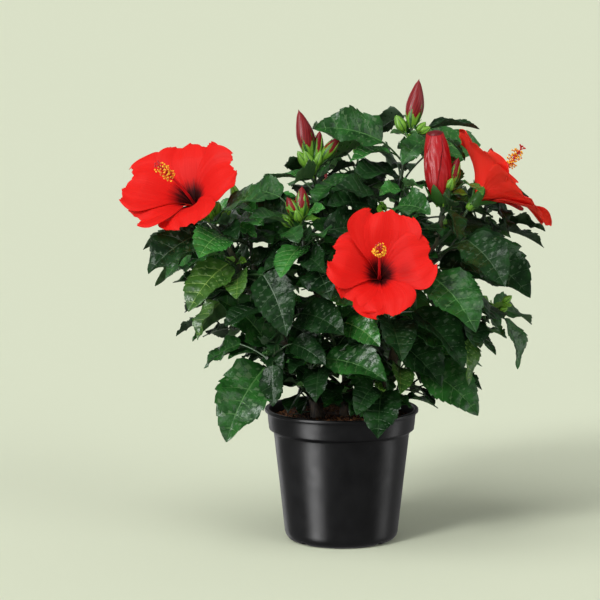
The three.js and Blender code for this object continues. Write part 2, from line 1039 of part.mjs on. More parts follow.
/** One named mesh of the group. */
function addNode(name, whole, color, roughness) {
  const material = new THREE.MeshStandardMaterial({ color, roughness, metalness: 0 });
  const mesh = new THREE.Mesh(geometryOf(whole), material);
  mesh.name = name;
  group.add(mesh);
}

addNode("pot", pot(), "#1d1e20", 0.42);
addNode("compost", compost(), "#4b3626", 0.95);

const taken = new Taken();
const limbs = {};
for (const [name, { foot, lean, tip, radii }] of Object.entries(STEMS)) {
  const start = vector([...foot, COMPOST_TOP - 2]);
  limbs[name] = new Branch(start, direction(...lean), vector(tip), WOOD.stem, radii);
  taken.add(name, limbs[name].room());
  addNode(name, stemSolid(limbs[name]), "#4a3b2a", 0.8);
}

/** A branch that leaves a limb, and its solid cut clear of that limb. */
function grown({ from: [parent, share], lean, radii }, tip, kind) {
  const branch = Branch.from(limbs[parent], share, lean, tip, kind, radii);
  const whole = branch.solid();
  return [branch, share < 1 ? whole.subtract(limbs[parent].solid(GAP)) : whole];
}

for (const [name, row] of Object.entries(BOUGHS)) {
  const [branch, whole] = grown(row, vector(row.tip), WOOD.bough);
  limbs[name] = branch;
  taken.add(name, branch.room());
  addNode(name, whole, "#41492c", 0.75);
}

for (const [name, row] of Object.entries(BLOOMS)) {
  const heart = vector(row.heart);
  const calyxEnd = moved(heart, direction(...row.facing), 3 - CALYX.back);
  const [stalk, wood] = grown(row, calyxEnd, WOOD.flowerStalk);
  const bloom = new Bloom(stalk, heart, row.facing, row.petals, row.column);
  taken.add(name, bloom.room());
  addNode(name, fused([wood, ...bloom.solid()]), "#df221d", 0.5);
}

const shoots = Object.entries(MASSES).map(([name, row]) => {
  const [shoot, wood] = grown(row, vector(row.tip), WOOD.shoot);
  taken.add(name, shoot.room());
  const pieces = [wood];
  for (const [share, ...bud] of row.buds) {
    const grownBud = new Bud(shoot.at(Math.min(share, 0.98)), ...bud);
    taken.add(name, grownBud.room());
    pieces.push(...grownBud.solid());
  }
  return { name, row, shoot, pieces, leaves: 0 };
});

for (const { name, row, shoot, pieces } of shoots) {
  for (const [share, ...pose] of row.shown) {
    const leaf = placed(taken, name, shoot.at(Math.min(share, 0.98)), pose, false);
    if (leaf) {
      pieces.push(leaf.solid());
    }
  }
}

shoots.forEach(({ name, row, shoot, pieces }, index) => {
  const random = seeded(7919 * index + 17);
  const first = 360 * random();
  for (let i = 0; i < row.more; i += 1) {
    const [share, ...pose] = ruleLeaf(i, row.more, first, random);
    const leaf = placed(taken, name, shoot.at(Math.min(share, 0.98)), pose, true);
    if (leaf) {
      pieces.push(leaf.solid());
    }
  }
  addNode(name, fused(pieces), "#27552b", 0.45);
});

export default group;
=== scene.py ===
"""Looks of a potted hibiscus shrub in flower, grown by the same seeded rule as its solids.

Sizes are in millimetres, +Z up, with the underside of the pot at z = 0. Pieces are written in
metres.
"""

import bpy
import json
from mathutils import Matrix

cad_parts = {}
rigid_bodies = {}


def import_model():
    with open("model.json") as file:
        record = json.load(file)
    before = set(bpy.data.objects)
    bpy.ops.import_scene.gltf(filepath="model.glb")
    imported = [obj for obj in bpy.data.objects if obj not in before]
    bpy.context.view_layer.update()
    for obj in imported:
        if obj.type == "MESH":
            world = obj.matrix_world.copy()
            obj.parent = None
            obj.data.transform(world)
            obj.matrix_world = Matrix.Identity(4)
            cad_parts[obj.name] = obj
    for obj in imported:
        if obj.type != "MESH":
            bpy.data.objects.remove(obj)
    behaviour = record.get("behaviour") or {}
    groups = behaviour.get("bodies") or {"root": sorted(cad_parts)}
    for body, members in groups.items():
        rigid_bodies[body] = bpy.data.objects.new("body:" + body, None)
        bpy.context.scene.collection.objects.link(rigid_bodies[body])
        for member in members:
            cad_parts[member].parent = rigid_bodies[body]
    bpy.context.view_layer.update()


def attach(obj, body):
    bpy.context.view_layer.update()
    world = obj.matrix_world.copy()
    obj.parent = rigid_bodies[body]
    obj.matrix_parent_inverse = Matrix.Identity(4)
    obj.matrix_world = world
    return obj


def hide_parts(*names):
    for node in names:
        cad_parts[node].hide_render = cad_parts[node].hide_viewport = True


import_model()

import copy
import functools
import json
import logging
import math
from dataclasses import dataclass, field
from enum import Enum
from typing import Any, Callable, Sequence

import bpy
import numpy as np
from mathutils import Vector, noise

log = logging.getLogger("hibiscus")

Array = np.ndarray
Row = tuple[float, ...]
Rows = tuple[Row, ...]
Counts = tuple[int, int]
Stops = tuple[tuple[float, str], ...]
Tree = bpy.types.NodeTree
Thing = bpy.types.Object

UP = np.array((0.0, 0.0, 1.0))
MILLIMETRES = 1000.0
TURN = 2 * math.pi

# Clear space between two solids that meet, and the share of a shoot where its last leaf stands.
GAP = 0.3
LAST_SHARE = 0.98

# Seeds of what is grown or strewn, and the steps between those of masses, limbs and blooms.
RULE_SEED, RULE_SEED_STEP = 17, 7919
TWIG_SEED, TWIG_SEED_STEP = 71, 104729
LIMB_SEED_STEP = 15485863
BLOOM_SEED_STEP = 611953
COMPOST_SEED, BLADE_SEED = 4099, 90001


# Vectors and repeatable numbers


def mix(low: float, high: float, share: float) -> float:
    """The value a share of the way from one number to another."""
    return low + (high - low) * share


def evenly_round(count: int) -> Array:
    """Angles evenly spaced round a circle, in radians."""
    return np.arange(count) * TURN / count


def there_and_back(row: Array) -> Array:
    """Places across a thin sheet, over its first face and back along its second."""
    return np.concatenate((row, row[::-1]))


def bent(start: Array, middle: Array, end: Array, share: float | Array) -> Array:
    """Points of a run that starts towards a middle point and then bends to its end.

    Args:
        start: Its first point.
        middle: The point that it bends by.
        end: Its last point.
        share: One share of the run, or an array of them.

    Returns:
        An array whose last axis holds x, y and z.
    """
    s = np.asarray(share, float)[..., None]
    return (1 - s) ** 2 * start + 2 * s * (1 - s) * middle + s**2 * end


def unit(vectors: Array) -> Array:
    """Vectors brought to length 1."""
    return vectors / np.maximum(np.linalg.norm(vectors, axis=-1, keepdims=True), 1e-9)


def direction(heading: float, pitch: float | Array) -> Array:
    """Unit vectors at a heading, from +X towards +Y, and a pitch above the level, in degrees.

    Args:
        heading: The heading in degrees.
        pitch: One pitch in degrees, or an array of them.

    Returns:
        An array whose last axis holds x, y and z.
    """
    turn, rise = math.radians(heading), np.radians(pitch)
    level = np.cos(rise)
    parts = np.broadcast_arrays(math.cos(turn) * level, math.sin(turn) * level, np.sin(rise))
    return np.stack(parts, axis=-1)


def arc(pitch: float, bend: float, share: float | Array) -> tuple[Array, Array]:
    """The level and the upward part of a run of length 1 that bends down evenly.

    Args:
        pitch: The pitch at the start, in degrees.
        bend: How far the run turns down over its length, in degrees.
        share: Shares of the length.

    Returns:
        How far the run has gone on the level, and how far it has risen.
    """
    start, turn = math.radians(pitch), math.radians(bend)
    now = start - turn * np.asarray(share, float)
    return (math.sin(start) - np.sin(now)) / turn, (np.cos(now) - math.cos(start)) / turn


class Seeded:
    """Repeatable numbers between 0 and 1."""

    def __init__(self, seed: int) -> None:
        """Starts the row of numbers from a whole number."""
        self.state = seed % 2**32

    def __call__(self) -> float:
        """The next number."""
        self.state = (self.state * 1664525 + 1013904223) % 2**32
        return self.state / 2**32

    def between(self, low: float, high: float) -> float:
        """The next number, spread over a range."""
        return mix(low, high, self())


def sideways(tangents: Array) -> tuple[Array, Array]:
    """Two directions square to each tangent of a path, which turn as little as the path does.

    Args:
        tangents: Unit vectors along the path.

    Returns:
        Two arrays of unit vectors, u and v, with u x v along the path.
    """
    reference = np.eye(3)[int(np.argmin(np.abs(tangents.mean(axis=0))))]
    u = unit(reference - (tangents @ reference)[:, None] * tangents)
    return u, np.cross(tangents, u)


def off_axis(axis: Array, turn: float) -> Array:
    """The direction square to an axis at a turn round it, in radians."""
    u, v = sideways(np.array([axis]))
    return u[0] * math.cos(turn) + v[0] * math.sin(turn)


def rings_about(path: Array, radii: Array, sides: int, twist: float | Array = 0.0) -> Array:
    """Rings of points round a path.

    Args:
        path: The points of the middle line.
        radii: A radius for each point of the path, or for each point of each ring.
        sides: How many points a ring has.
        twist: A turn of the rings, in radians, one for all or one for each.

    Returns:
        An array of rings by sides by 3, each ring counterclockwise seen against the path.
    """
    u, v = sideways(unit(np.gradient(path, axis=0)))
    angles = evenly_round(sides) + np.reshape(twist, (-1, 1))
    radii = np.asarray(radii, float)
    radii = radii[:, None] if radii.ndim == 1 else radii
    across, high = radii * np.cos(angles), radii * np.sin(angles)
    return path[:, None] + across[..., None] * u[:, None] + high[..., None] * v[:, None]


# Finishes


def linear(colour: str) -> tuple[float, float, float, float]:
    """An sRGB hex colour as linear red, green and blue, with alpha 1."""
    parts = [int(colour[i : i + 2], 16) / 255 for i in (1, 3, 5)]
    return (*[p / 12.92 if p <= 0.04045 else ((p + 0.055) / 1.055) ** 2.4 for p in parts], 1.0)


Source = bpy.types.Node | bpy.types.NodeSocket


def socket_of(source: Source) -> bpy.types.NodeSocket:
    """The socket that a link starts from: the one given, or a node's first output."""
    return source.outputs[0] if isinstance(source, bpy.types.Node) else source


def add(
    tree: Tree,
    kind: str,
    settings: dict[str | int, Any] | None = None,
    stops: Stops = (),
    **facts: Any,
) -> bpy.types.Node:
    """Adds one node to a tree.

    Args:
        tree: The tree of the material or of the world.
        kind: The type of the node, without the word that all of them start with.
        settings: For each input, by name or number, a value, or the source it is linked from.
        stops: Place and colour of each stop, where the node has a colour ramp.
        facts: Properties of the node itself.

    Returns:
        The node.
    """
    node = tree.nodes.new(f"ShaderNode{kind}")
    for name, value in facts.items():
        setattr(node, name, value)
    for name, value in (settings or {}).items():
        if isinstance(value, Source):
            tree.links.new(socket_of(value), node.inputs[name])
        else:
            node.inputs[name].default_value = value
    for i, (place, colour) in enumerate(stops):
        elements = node.color_ramp.elements
        stop = elements[i] if i < 2 else elements.new(place)
        stop.position = place
        stop.color = linear(colour)
    return node


def marks(size: float) -> float:
    """The scale of a pattern whose marks have this size in millimetres."""
    return MILLIMETRES / size


@dataclass(frozen=True)
class Finish:
    """A finish: one colour and gloss, to which each kind adds its own pattern."""

    name: str
    colour: str
    roughness: float
    ior: float = 1.45
    subsurface: float = 0.0
    shine: float = 0.5

    def pattern(self, tree: Tree) -> dict[str, Source]:
        """Plain tissue has only a soft unevenness of about 1.4 mm.

        Args:
            tree: The material's nodes.

        Returns:
            What feeds each input of the shader.
        """
        place = add(tree, "TexCoord").outputs["Object"]
        grain = add(tree, "TexNoise", {"Vector": place, "Scale": marks(1.43), "Detail": 2.0})
        relief = {"Strength": 0.15, "Distance": 0.4 / MILLIMETRES, "Height": grain}
        return {"Normal": add(tree, "Bump", relief)}


@functools.cache
def material_of(finish: Finish) -> bpy.types.Material:
    """The material of a finish.

    Args:
        finish: The finish.

    Returns:
        Its material, the same one each time.
    """
    material = bpy.data.materials.new(finish.name)
    material.use_nodes = True
    tree = material.node_tree
    tree.nodes.clear()
    settings = {
        "Base Color": linear(finish.colour),
        "Roughness": finish.roughness,
        "IOR": finish.ior,
        "Specular IOR Level": finish.shine,
        "Subsurface Weight": finish.subsurface,
        "Subsurface Scale": 2 / MILLIMETRES,
    }
    shader = add(tree, "BsdfPrincipled", settings)
    add(tree, "OutputMaterial", {"Surface": shader})
    for name, source in finish.pattern(tree).items():
        tree.links.new(socket_of(source), shader.inputs[name])
    return material


@dataclass(frozen=True)
class MouldedPlastic(Finish):
    """Injection-moulded polypropylene: a satin charcoal skin with a very fine orange peel."""

    worn: str = "#0b0b0d"

    def pattern(self, tree: Tree) -> dict[str, Source]:
        """Uneven satin over 20 mm, and a moulding grain drawn 0.7 mm wide, so that it shows.

        Args:
            tree: The material's nodes.

        Returns:
            What feeds each input of the shader.
        """
        place = add(tree, "TexCoord").outputs["Object"]
        clouds = add(tree, "TexNoise", {"Vector": place, "Scale": marks(20), "Detail": 3.0})
        satin = {"From Min": 0.3, "From Max": 0.7}
        satin |= {"To Min": self.roughness - 0.04, "To Max": self.roughness + 0.05}
        tones = ((0.3, self.colour), (0.75, self.worn))
        grain = add(tree, "TexNoise", {"Vector": place, "Scale": marks(0.667), "Detail": 2.0})
        relief = {"Strength": 0.2, "Distance": 0.2 / MILLIMETRES, "Height": grain}
        return {
            "Roughness": add(tree, "MapRange", {"Value": clouds} | satin),
            "Base Color": add(tree, "ValToRGB", {"Fac": clouds}, tones),
            "Normal": add(tree, "Bump", relief),
        }


@dataclass(frozen=True)
class Peat(Finish):
    """Peat and coir compost: dry orange-brown crumbs over damp dark ones, with no gloss."""

    def pattern(self, tree: Tree) -> dict[str, Source]:
        """Crumbs of 1 to 3 mm in colour and in relief.

        Args:
            tree: The material's nodes.

        Returns:
            What feeds each input of the shader.
        """
        place = add(tree, "TexCoord").outputs["Object"]
        crumbs = add(tree, "TexNoise", {"Vector": place, "Scale": marks(2.63), "Detail": 6.0})
        tones = ((0.32, "#20130b"), (0.62, "#7a4a28"), (0.5, self.colour), (0.75, "#a06a3c"))
        relief = {"Strength": 0.8, "Distance": 1.5 / MILLIMETRES, "Height": crumbs}
        return {
            "Base Color": add(tree, "ValToRGB", {"Fac": crumbs}, tones),
            "Normal": add(tree, "Bump", relief),
        }


@dataclass(frozen=True)
class Bark(Finish):
    """Thin smooth bark of a young shrub: green showing through grey-brown, with short furrows."""

    light: str = "#6b5a45"

    def pattern(self, tree: Tree) -> dict[str, Source]:
        """Streaks about 2 mm wide and four times as long, in colour and in relief.

        Args:
            tree: The material's nodes.

        Returns:
            What feeds each input of the shader.
        """
        place = add(tree, "TexCoord").outputs["Object"]
        long = add(tree, "Mapping", {"Vector": place, "Scale": (1.0, 1.0, 0.25)})
        streaks = add(tree, "TexNoise", {"Vector": long, "Scale": marks(2.08), "Detail": 5.0})
        tones = ((0.35, self.colour), (0.72, self.light))
        relief = {"Strength": 0.6, "Distance": 0.6 / MILLIMETRES, "Height": streaks}
        return {
            "Base Color": add(tree, "ValToRGB", {"Fac": streaks}, tones),
            "Normal": add(tree, "Bump", relief),
        }


@dataclass(frozen=True)
class Cuticle(Finish):
    """The waxy upper skin of a leaf: dark green with wet-looking highlights and soft mottling."""

    light: str = "#2c5a30"

    def pattern(self, tree: Tree) -> dict[str, Source]:
        """Mottling over about 15 mm; as relief puckers of 5 mm and a net of veins of 2.4 mm.

        Args:
            tree: The material's nodes.

        Returns:
            What feeds each input of the shader.
        """
        place = add(tree, "TexCoord").outputs["Object"]
        clouds = add(tree, "TexNoise", {"Vector": place, "Scale": marks(15.4), "Detail": 3.0})
        tones = ((0.34, self.colour), (0.72, self.light))
        net = {"Vector": place, "Scale": marks(2.38)}
        veins = add(tree, "TexVoronoi", net, feature="SMOOTH_F1")
        fine = {"Strength": 0.35, "Distance": 0.4 / MILLIMETRES, "Height": veins}
        puckers = add(tree, "TexNoise", {"Vector": place, "Scale": marks(5.26), "Detail": 2.0})
        coarse = {"Strength": 0.5, "Distance": 2 / MILLIMETRES, "Height": puckers}
        return {
            "Base Color": add(tree, "ValToRGB", {"Fac": clouds}, tones),
            "Normal": add(tree, "Bump", coarse | {"Normal": add(tree, "Bump", fine)}),
        }


@dataclass(frozen=True)
class PetalTissue(Finish):
    """A thin silky petal: a near-black eye that feathers out along the veins into bright red, with
    a painted highlight along its silk.
    """

    stops: Stops = ()
    feather: float = 0.2
    painted_highlight: str = "#e23a2c"
    half_width: float = 30.0
    length: float = 80.0

    def pattern(self, tree: Tree) -> dict[str, Source]:
        """The eye runs out along veins 2 mm apart; silk is drawn 0.8 mm wide, so that it shows, and
        mixes a lighter red into the colour as a painted highlight.

        Args:
            tree: The material's nodes.

        Returns:
            What feeds each input of the shader.
        """
        place = add(tree, "UVMap", uv_map="petal")
        along = add(tree, "SeparateXYZ", {"Vector": place}).outputs["Y"]
        streaks = []
        # Veins, then silk: how wide and how long the streaks are, and how fine their edges.
        for wide, long, detail in ((2.14, 73, 3.0), (0.79, 40, 2.0)):
            scale = (self.half_width / wide, self.length / long, 1.0)
            drawn = add(tree, "Mapping", {"Vector": place, "Scale": scale})
            streaks.append(add(tree, "TexNoise", {"Vector": drawn, "Scale": 1.0, "Detail": detail}))
        veins, silk = streaks
        edge = add(tree, "Math", {0: veins, 1: self.feather, 2: along}, operation="MULTIPLY_ADD")
        # Painted highlight: along the silk streaks, up to 16% of a lighter red is mixed into the
        # colour.
        shine = {"Value": silk, "From Min": 0.4, "From Max": 0.75, "To Max": 0.16}
        both = {
            0: add(tree, "MapRange", shine),
            6: add(tree, "ValToRGB", {"Fac": edge}, self.stops),
            7: linear(self.painted_highlight),
        }
        relief = {"Strength": 0.5, "Distance": 0.6 / MILLIMETRES, "Height": silk}
        return {
            "Base Color": add(tree, "Mix", both, data_type="RGBA").outputs[2],
            "Normal": add(tree, "Bump", relief),
        }


class Tint(Enum):
    """The greens that the sprays of leaves are dealt."""

    DARK = "dark"
    MID = "mid"
    BRIGHT = "bright"
    OLIVE = "olive"
    YOUNG = "young"


DARK, MID, BRIGHT, OLIVE, YOUNG = Tint


# For each tint: the cuticle from its deeper to its lighter green, the matt underside, the veins,
# and how rough and how shiny the cuticle is.
LEAF_GREENS = {
    DARK: ("#0e2410", "#1e401c", "#2b4528", "#2e4c28", 0.29, 0.13),
    MID: ("#173c16", "#2c6326", "#3e6034", "#477538", 0.29, 0.33),
    BRIGHT: ("#255b21", "#3f8537", "#548148", "#6c9c50", 0.27, 0.4),
    OLIVE: ("#2a4e1c", "#4a742a", "#5c7d40", "#7d9c4a", 0.3, 0.35),
    YOUNG: ("#4d8a22", "#7db534", "#7aa84a", "#a3cc5c", 0.3, 0.4),
}


def leaf_finishes() -> dict[Tint, tuple[Finish, Finish, Finish]]:
    """The three finishes of a leaf of each tint.

    Returns:
        Cuticle, underside and veins of each tint.
    """
    return {
        tint: (
            Cuticle(f"leaf_cuticle_{tint.value}", deep, rough, shine=shine, light=light),
            Finish(f"leaf_underside_{tint.value}", under, 0.6),
            Finish(f"leaf_vein_{tint.value}", vein, 0.42),
        )
        for tint, (deep, light, under, vein, rough, shine) in LEAF_GREENS.items()
    }


# Pot and compost: black satin plastic, dull crumbs, and pale dry fibres among them.
POLYPROPYLENE = MouldedPlastic("moulded_polypropylene", "#020203", 0.38, ior=1.49, shine=0.29)
PEAT = Peat("peat_compost", "#4a2c18", 0.95)
COIR = Finish("coir_fibre", "#8a5c34", 0.85)
# Wood: dull grey-brown stems, smoother olive boughs, green twigs and stalks with a low gloss.
STEM_BARK = Bark("stem_bark", "#2a2118", 0.75)
BOUGH_BARK = Bark("bough_bark", "#262a18", 0.65, light="#55573a")
TWIG_SKIN = Bark("twig_skin", "#1c2a16", 0.5, light="#3d5230")
PETIOLE_SKIN = Finish("leaf_stalk", "#33522a", 0.45)
# Petals: velvety inside, so that they stay an even bright red, and thin enough outside to glow
# where light comes through; the outer face is also painted a brighter red than the inner one, as
# painted light on backs in shade.
PETAL_FACE = PetalTissue(
    "petal_inner_face",
    "#d51410",
    0.58,
    ior=1.36,
    subsurface=0.1,
    shine=0.15,
    stops=(
        *((0.27, "#0b0204"), (1.0, "#d61812"), (0.34, "#300306")),
        *((0.4, "#8c090c"), (0.5, "#cf120e")),
    ),
)
# Painted light: the outer face is a brighter red than the inner one, to lift petal backs that lie
# in shade.
PETAL_BACK = PetalTissue(
    "petal_outer_face",
    "#ee251d",
    0.58,
    ior=1.36,
    subsurface=0.5,
    shine=0.12,
    stops=((0.12, "#b84a28"), (1.0, "#ff382b"), (0.34, "#f92f24")),
)
# Column: moist red tissue, velvety stigmas, and grains of dull yellow pollen that turn orange.
COLUMN_TISSUE = Finish("column_tissue", "#c8141c", 0.4, subsurface=0.1)
ANTHER = Finish("anther_pollen", "#fbb81e", 0.7)
ANTHER_SHADE = Finish("anther_pollen_ripe", "#ee8614", 0.7)
STIGMA = Finish("stigma_velvet", "#b80f17", 0.7)
# Calyx and buds: waxy greens, and tight dark red petals with a soft gloss, lighter on the crests of
# their ribs partly as a painted highlight; on furled buds a darker red is painted as shade in the
# creases where petals overlap and in the mouth.
CALYX_GREEN = Finish("calyx_lime", "#6fa32f", 0.42)
CALYX_SEAM = Finish("calyx_dark", "#315f20", 0.45)
BUD_PETAL = Finish("bud_petal", "#721418", 0.36, shine=0.3)
BUD_RIB_AND_HIGHLIGHT = Finish("bud_petal_rib_and_painted_highlight", "#8e2225", 0.36, shine=0.3)
FURLED_PETAL = Finish("furled_petal", "#a50f16", 0.4, shine=0.35)
FURLED_PAINTED_SHADE = Finish("furled_petal_painted_shade", "#640a10", 0.45, shine=0.3)


# Meshes


def stand(name: str, data: bpy.types.ID) -> Thing:
    """A new object in the scene.

    Args:
        name: Its name.
        data: Its mesh, lamp or camera.

    Returns:
        The object.
    """
    thing = bpy.data.objects.new(name, data)
    bpy.context.collection.objects.link(thing)
    return thing


def aim(thing: Thing, towards: Vector) -> None:
    """Turns a lamp or a camera to look along a direction."""
    thing.rotation_euler = towards.to_track_quat("-Z", "Y").to_euler()


class Skin:
    """The faces of one piece, in millimetres, gathered before they become a mesh."""

    def __init__(self, name: str, finishes: Sequence[Finish], map_name: str = "") -> None:
        """Starts an empty piece.

        Args:
            name: Its name.
            finishes: Its finishes.
            map_name: The name of its map, if any.
        """
        self.name = name
        self.finishes = list(finishes)
        self.map_name = map_name
        self.points: list[Array] = []
        self.maps: list[Array] = []
        self.quads: list[Array] = []
        self.tones: list[Array] = []
        self.caps: list[tuple[Array, int]] = []
        self.count = 0

    def triangles(self) -> int:
        """How many triangles the piece has so far."""
        return 2 * sum(len(q) for q in self.quads) + sum(len(c) - 2 for c, _ in self.caps)

    def tube(self, rings: Array, tone: int | Array = 0, places: Array | None = None) -> None:
        """Adds a closed skin over rings that follow each other, with both ends capped.

        Args:
            rings: Rings by points by 3, counterclockwise seen against the way they follow.
            tone: Number of a finish, for all faces or for each column of them.
            places: Rings by points by 2, where each point lies on the piece's map.
        """
        steps, sides = rings.shape[:2]
        index = self.count + np.arange(steps * sides).reshape(steps, sides)
        beside = np.roll(index, -1, axis=1)
        quads = np.stack((index[:-1], beside[:-1], beside[1:], index[1:]), axis=-1)
        self.points.append(rings.reshape(-1, 3))
        self.maps.append(np.zeros((steps * sides, 2)) if places is None else places.reshape(-1, 2))
        self.quads.append(quads.reshape(-1, 4))
        columns = np.broadcast_to(tone, (steps - 1, sides))
        self.tones.append(columns.reshape(-1))
        self.caps.append((index[0][::-1], int(columns[0, 0])))
        self.caps.append((index[-1], int(columns[-1, 0])))
        self.count += steps * sides

    def sheet(self, rings: Array, tone: int | Array = 0, places: Array | None = None) -> None:
        """Adds a tube whose rings lie flat, with both ends closed straight across its thickness.

        Args:
            rings: Rings by points by 3, the second half of each back along the first.
            tone: Number of a finish, for all faces or for each column of them.
            places: Rings by points by 2, where each point lies on the piece's map.
        """
        first = self.count + np.arange(rings.shape[1])
        self.tube(rings, tone, places)
        del self.caps[-2:]
        last = first + (len(rings) - 1) * len(first)
        for ring in (first[::-1], last):
            half = len(ring) // 2
            over, under = ring[:half], ring[half:][::-1]
            self.quads.append(np.stack((over[:-1], over[1:], under[1:], under[:-1]), axis=-1))
            self.tones.append(np.full(half - 1, int(np.ravel(tone)[0])))

    def bar(self, path: Array, radii: Array | float, sides: int, tone: int | Array = 0) -> None:
        """Adds a round bar along a path.

        Args:
            path: The points of its middle line.
            radii: Its radius, for all or for each point.
            sides: How many sides it has.
            tone: Number of a finish.
        """
        self.tube(rings_about(path, np.broadcast_to(radii, len(path)), sides), tone)

    def grain(self, middle: Array, along: Array, radius: float, tone: int, sides: int = 6) -> None:
        """Adds a small rounded grain.

        Args:
            middle: Its middle.
            along: Half its length, as a vector.
            radius: Its radius.
            tone: Number of a finish.
            sides: How many sides it has.
        """
        turns = np.linspace(-0.97, 0.97, 6) * math.pi / 2
        path = middle + np.sin(turns)[:, None] * along
        self.bar(path, radius * np.cos(turns), sides, tone)

    def write(self, smooth_below: float = 80.0) -> Thing:
        """Makes the piece's object.

        Args:
            smooth_below: Edges whose faces turn by more than this, in degrees, stay sharp.

        Returns:
            The object, riding on the root body.
        """
        quads = np.concatenate(self.quads)
        corners = np.concatenate([quads.reshape(-1), *[c for c, _ in self.caps]])
        sizes = np.array([4] * len(quads) + [len(c) for c, _ in self.caps])
        starts = np.concatenate(([0], np.cumsum(sizes)[:-1]))
        tones = np.concatenate([*self.tones, [t for _, t in self.caps]])
        mesh = bpy.data.meshes.new(self.name)
        mesh.vertices.add(self.count)
        mesh.vertices.foreach_set("co", np.concatenate(self.points).reshape(-1) / MILLIMETRES)
        mesh.loops.add(len(corners))
        mesh.loops.foreach_set("vertex_index", corners.astype(np.int32))
        mesh.polygons.add(len(sizes))
        mesh.polygons.foreach_set("loop_start", starts.astype(np.int32))
        for finish in self.finishes:
            mesh.materials.append(material_of(finish))
        mesh.polygons.foreach_set("material_index", tones.astype(np.int32))
        if self.map_name:
            layer = mesh.uv_layers.new(name=self.map_name)
            layer.data.foreach_set("uv", np.concatenate(self.maps)[corners].reshape(-1))
        mesh.update(calc_edges=True)
        mesh.validate()
        mesh.shade_smooth()
        mesh.set_sharp_from_angle(angle=math.radians(smooth_below))
        piece = stand(self.name, mesh)
        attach(piece, "root")
        log.info("%s: %d triangles", self.name, self.triangles())
        return piece


# The rule of growth, as in the solids


@dataclass(frozen=True)
class LeafRule:
    """The form of a leaf: bends in degrees, and sizes of its room."""

    curl: float = 38.0
    fold: float = 14.0
    turn_out: float = 42.0
    width_share: float = 0.68
    stalk_lift: float = 30.0
    room: float = 4.2


LEAF = LeafRule()
WOOD_ROOM = 1.2
OWN_SHARE = 0.7
FLARE_FALL = 18.0
NODE_TURN = 144.0

# Room round the pot, the crown's middle and radii, and the turns that a leaf tries in order.
POT_INSIDE, POT_ABOVE, POT_OUTSIDE, POT_RIM = 72.0, 142.0, 91.0, 153.0
CROWN_MIDDLE = np.array((0.0, 8.0, 300.0))
CROWN_RADII = np.array((232.0, 208.0, 205.0))
TURNS: Rows = (
    (0, 0, 1), (8, 0, 1), (-8, 0, 1), (0, 9, 1), (0, -9, 1), (16, 6, 1), (-16, 6, 1), (14, -12, 1),
    (-14, -12, 1), (26, 0, 0.95), (-26, 0, 0.95), (0, 18, 0.9), (36, -8, 0.85), (-36, -8, 0.85),
    (50, 8, 0.8), (-50, 8, 0.8),
)


@dataclass
class Room:
    """Balls that mark the space something takes."""

    middles: Array
    radii: Array
    blade: Array

    @classmethod
    def of(cls, middles: Array, radii: float | Array, blade: bool = False) -> "Room":
        """Balls at points, all of a blade or none.

        Args:
            middles: The middles of the balls.
            radii: Their radius, for all or for each.
            blade: Whether they are of a blade.

        Returns:
            The room.
        """
        middles = np.reshape(middles, (-1, 3))
        count = len(middles)
        return cls(middles, np.broadcast_to(radii, count).astype(float), np.full(count, blade))

    def joined(self, other: "Room") -> "Room":
        """This room and another.

        Args:
            other: The other room.

        Returns:
            Both in one.
        """
        return Room(
            np.concatenate((self.middles, other.middles)),
            np.concatenate((self.radii, other.radii)),
            np.concatenate((self.blade, other.blade)),
        )

    def sphere(self) -> tuple[Array, float]:
        """The middle of the balls and how far they reach from it."""
        low, high = self.middles.min(axis=0), self.middles.max(axis=0)
        return (low + high) / 2, float(np.linalg.norm(high - low)) / 2 + 10


class Branch:
    """A limb, a shoot or a twig: a bent, tapering round of wood."""

    def __init__(
        self, start: Array, lean: Array, tip: Array, radii: Row, flare: float = 0.0
    ) -> None:
        """Bends from its start, where it leans one way, to its tip.

        Args:
            start: Where it starts.
            lean: The way it leans there.
            tip: Where it ends.
            radii: Its radius at the start and at the tip.
            flare: How much thicker it is at its very foot.
        """
        self.start, self.tip = start, tip
        self.bend = start + lean * (np.linalg.norm(tip - start) / 2)
        self.radii, self.flare = radii, flare

    @classmethod
    def leaving(
        cls, parent: "Branch", share: float, lean: Row | None, tip: Array, radii: Row
    ) -> "Branch":
        """The branch that leaves another at a share of its length, or goes on from its tip.

        Args:
            parent: The other branch.
            share: A share of its length, or 1 for its tip.
            lean: The heading and the pitch at which it leaves, if not from the tip.
            tip: Where it ends.
            radii: Its radius at the start and at the tip.

        Returns:
            The branch.
        """
        if share < 1:
            return cls(parent.at(share), direction(*lean), tip, radii)
        on = unit(parent.tip - parent.bend)
        return cls(parent.tip + on * GAP, on, tip, radii)

    def at(self, share: float | Array) -> Array:
        """The point, or points, at a share of the branch."""
        return bent(self.start, self.bend, self.tip, share)

    def radius_at(self, share: float | Array) -> Array:
        """How thick the branch is at a share of its length."""
        s = np.asarray(share, float)
        return mix(*self.radii, s) + self.flare * np.exp(-FLARE_FALL * s)

    def length(self) -> float:
        """The length of the middle line."""
        line = self.at(np.linspace(0, 1, 201))
        return float(np.linalg.norm(np.diff(line, axis=0), axis=1).sum())

    def room(self) -> Room:
        """The space the branch takes."""
        shares = np.linspace(0, 1, math.ceil(self.length() / 4) + 1)
        return Room.of(self.at(shares), self.radius_at(shares) + WOOD_ROOM)


def leaf_width(share: Array) -> Array:
    """How wide a leaf is along its length, 1 where it is widest."""
    return 2.68 * share**0.55 * (1 - share) ** 0.95


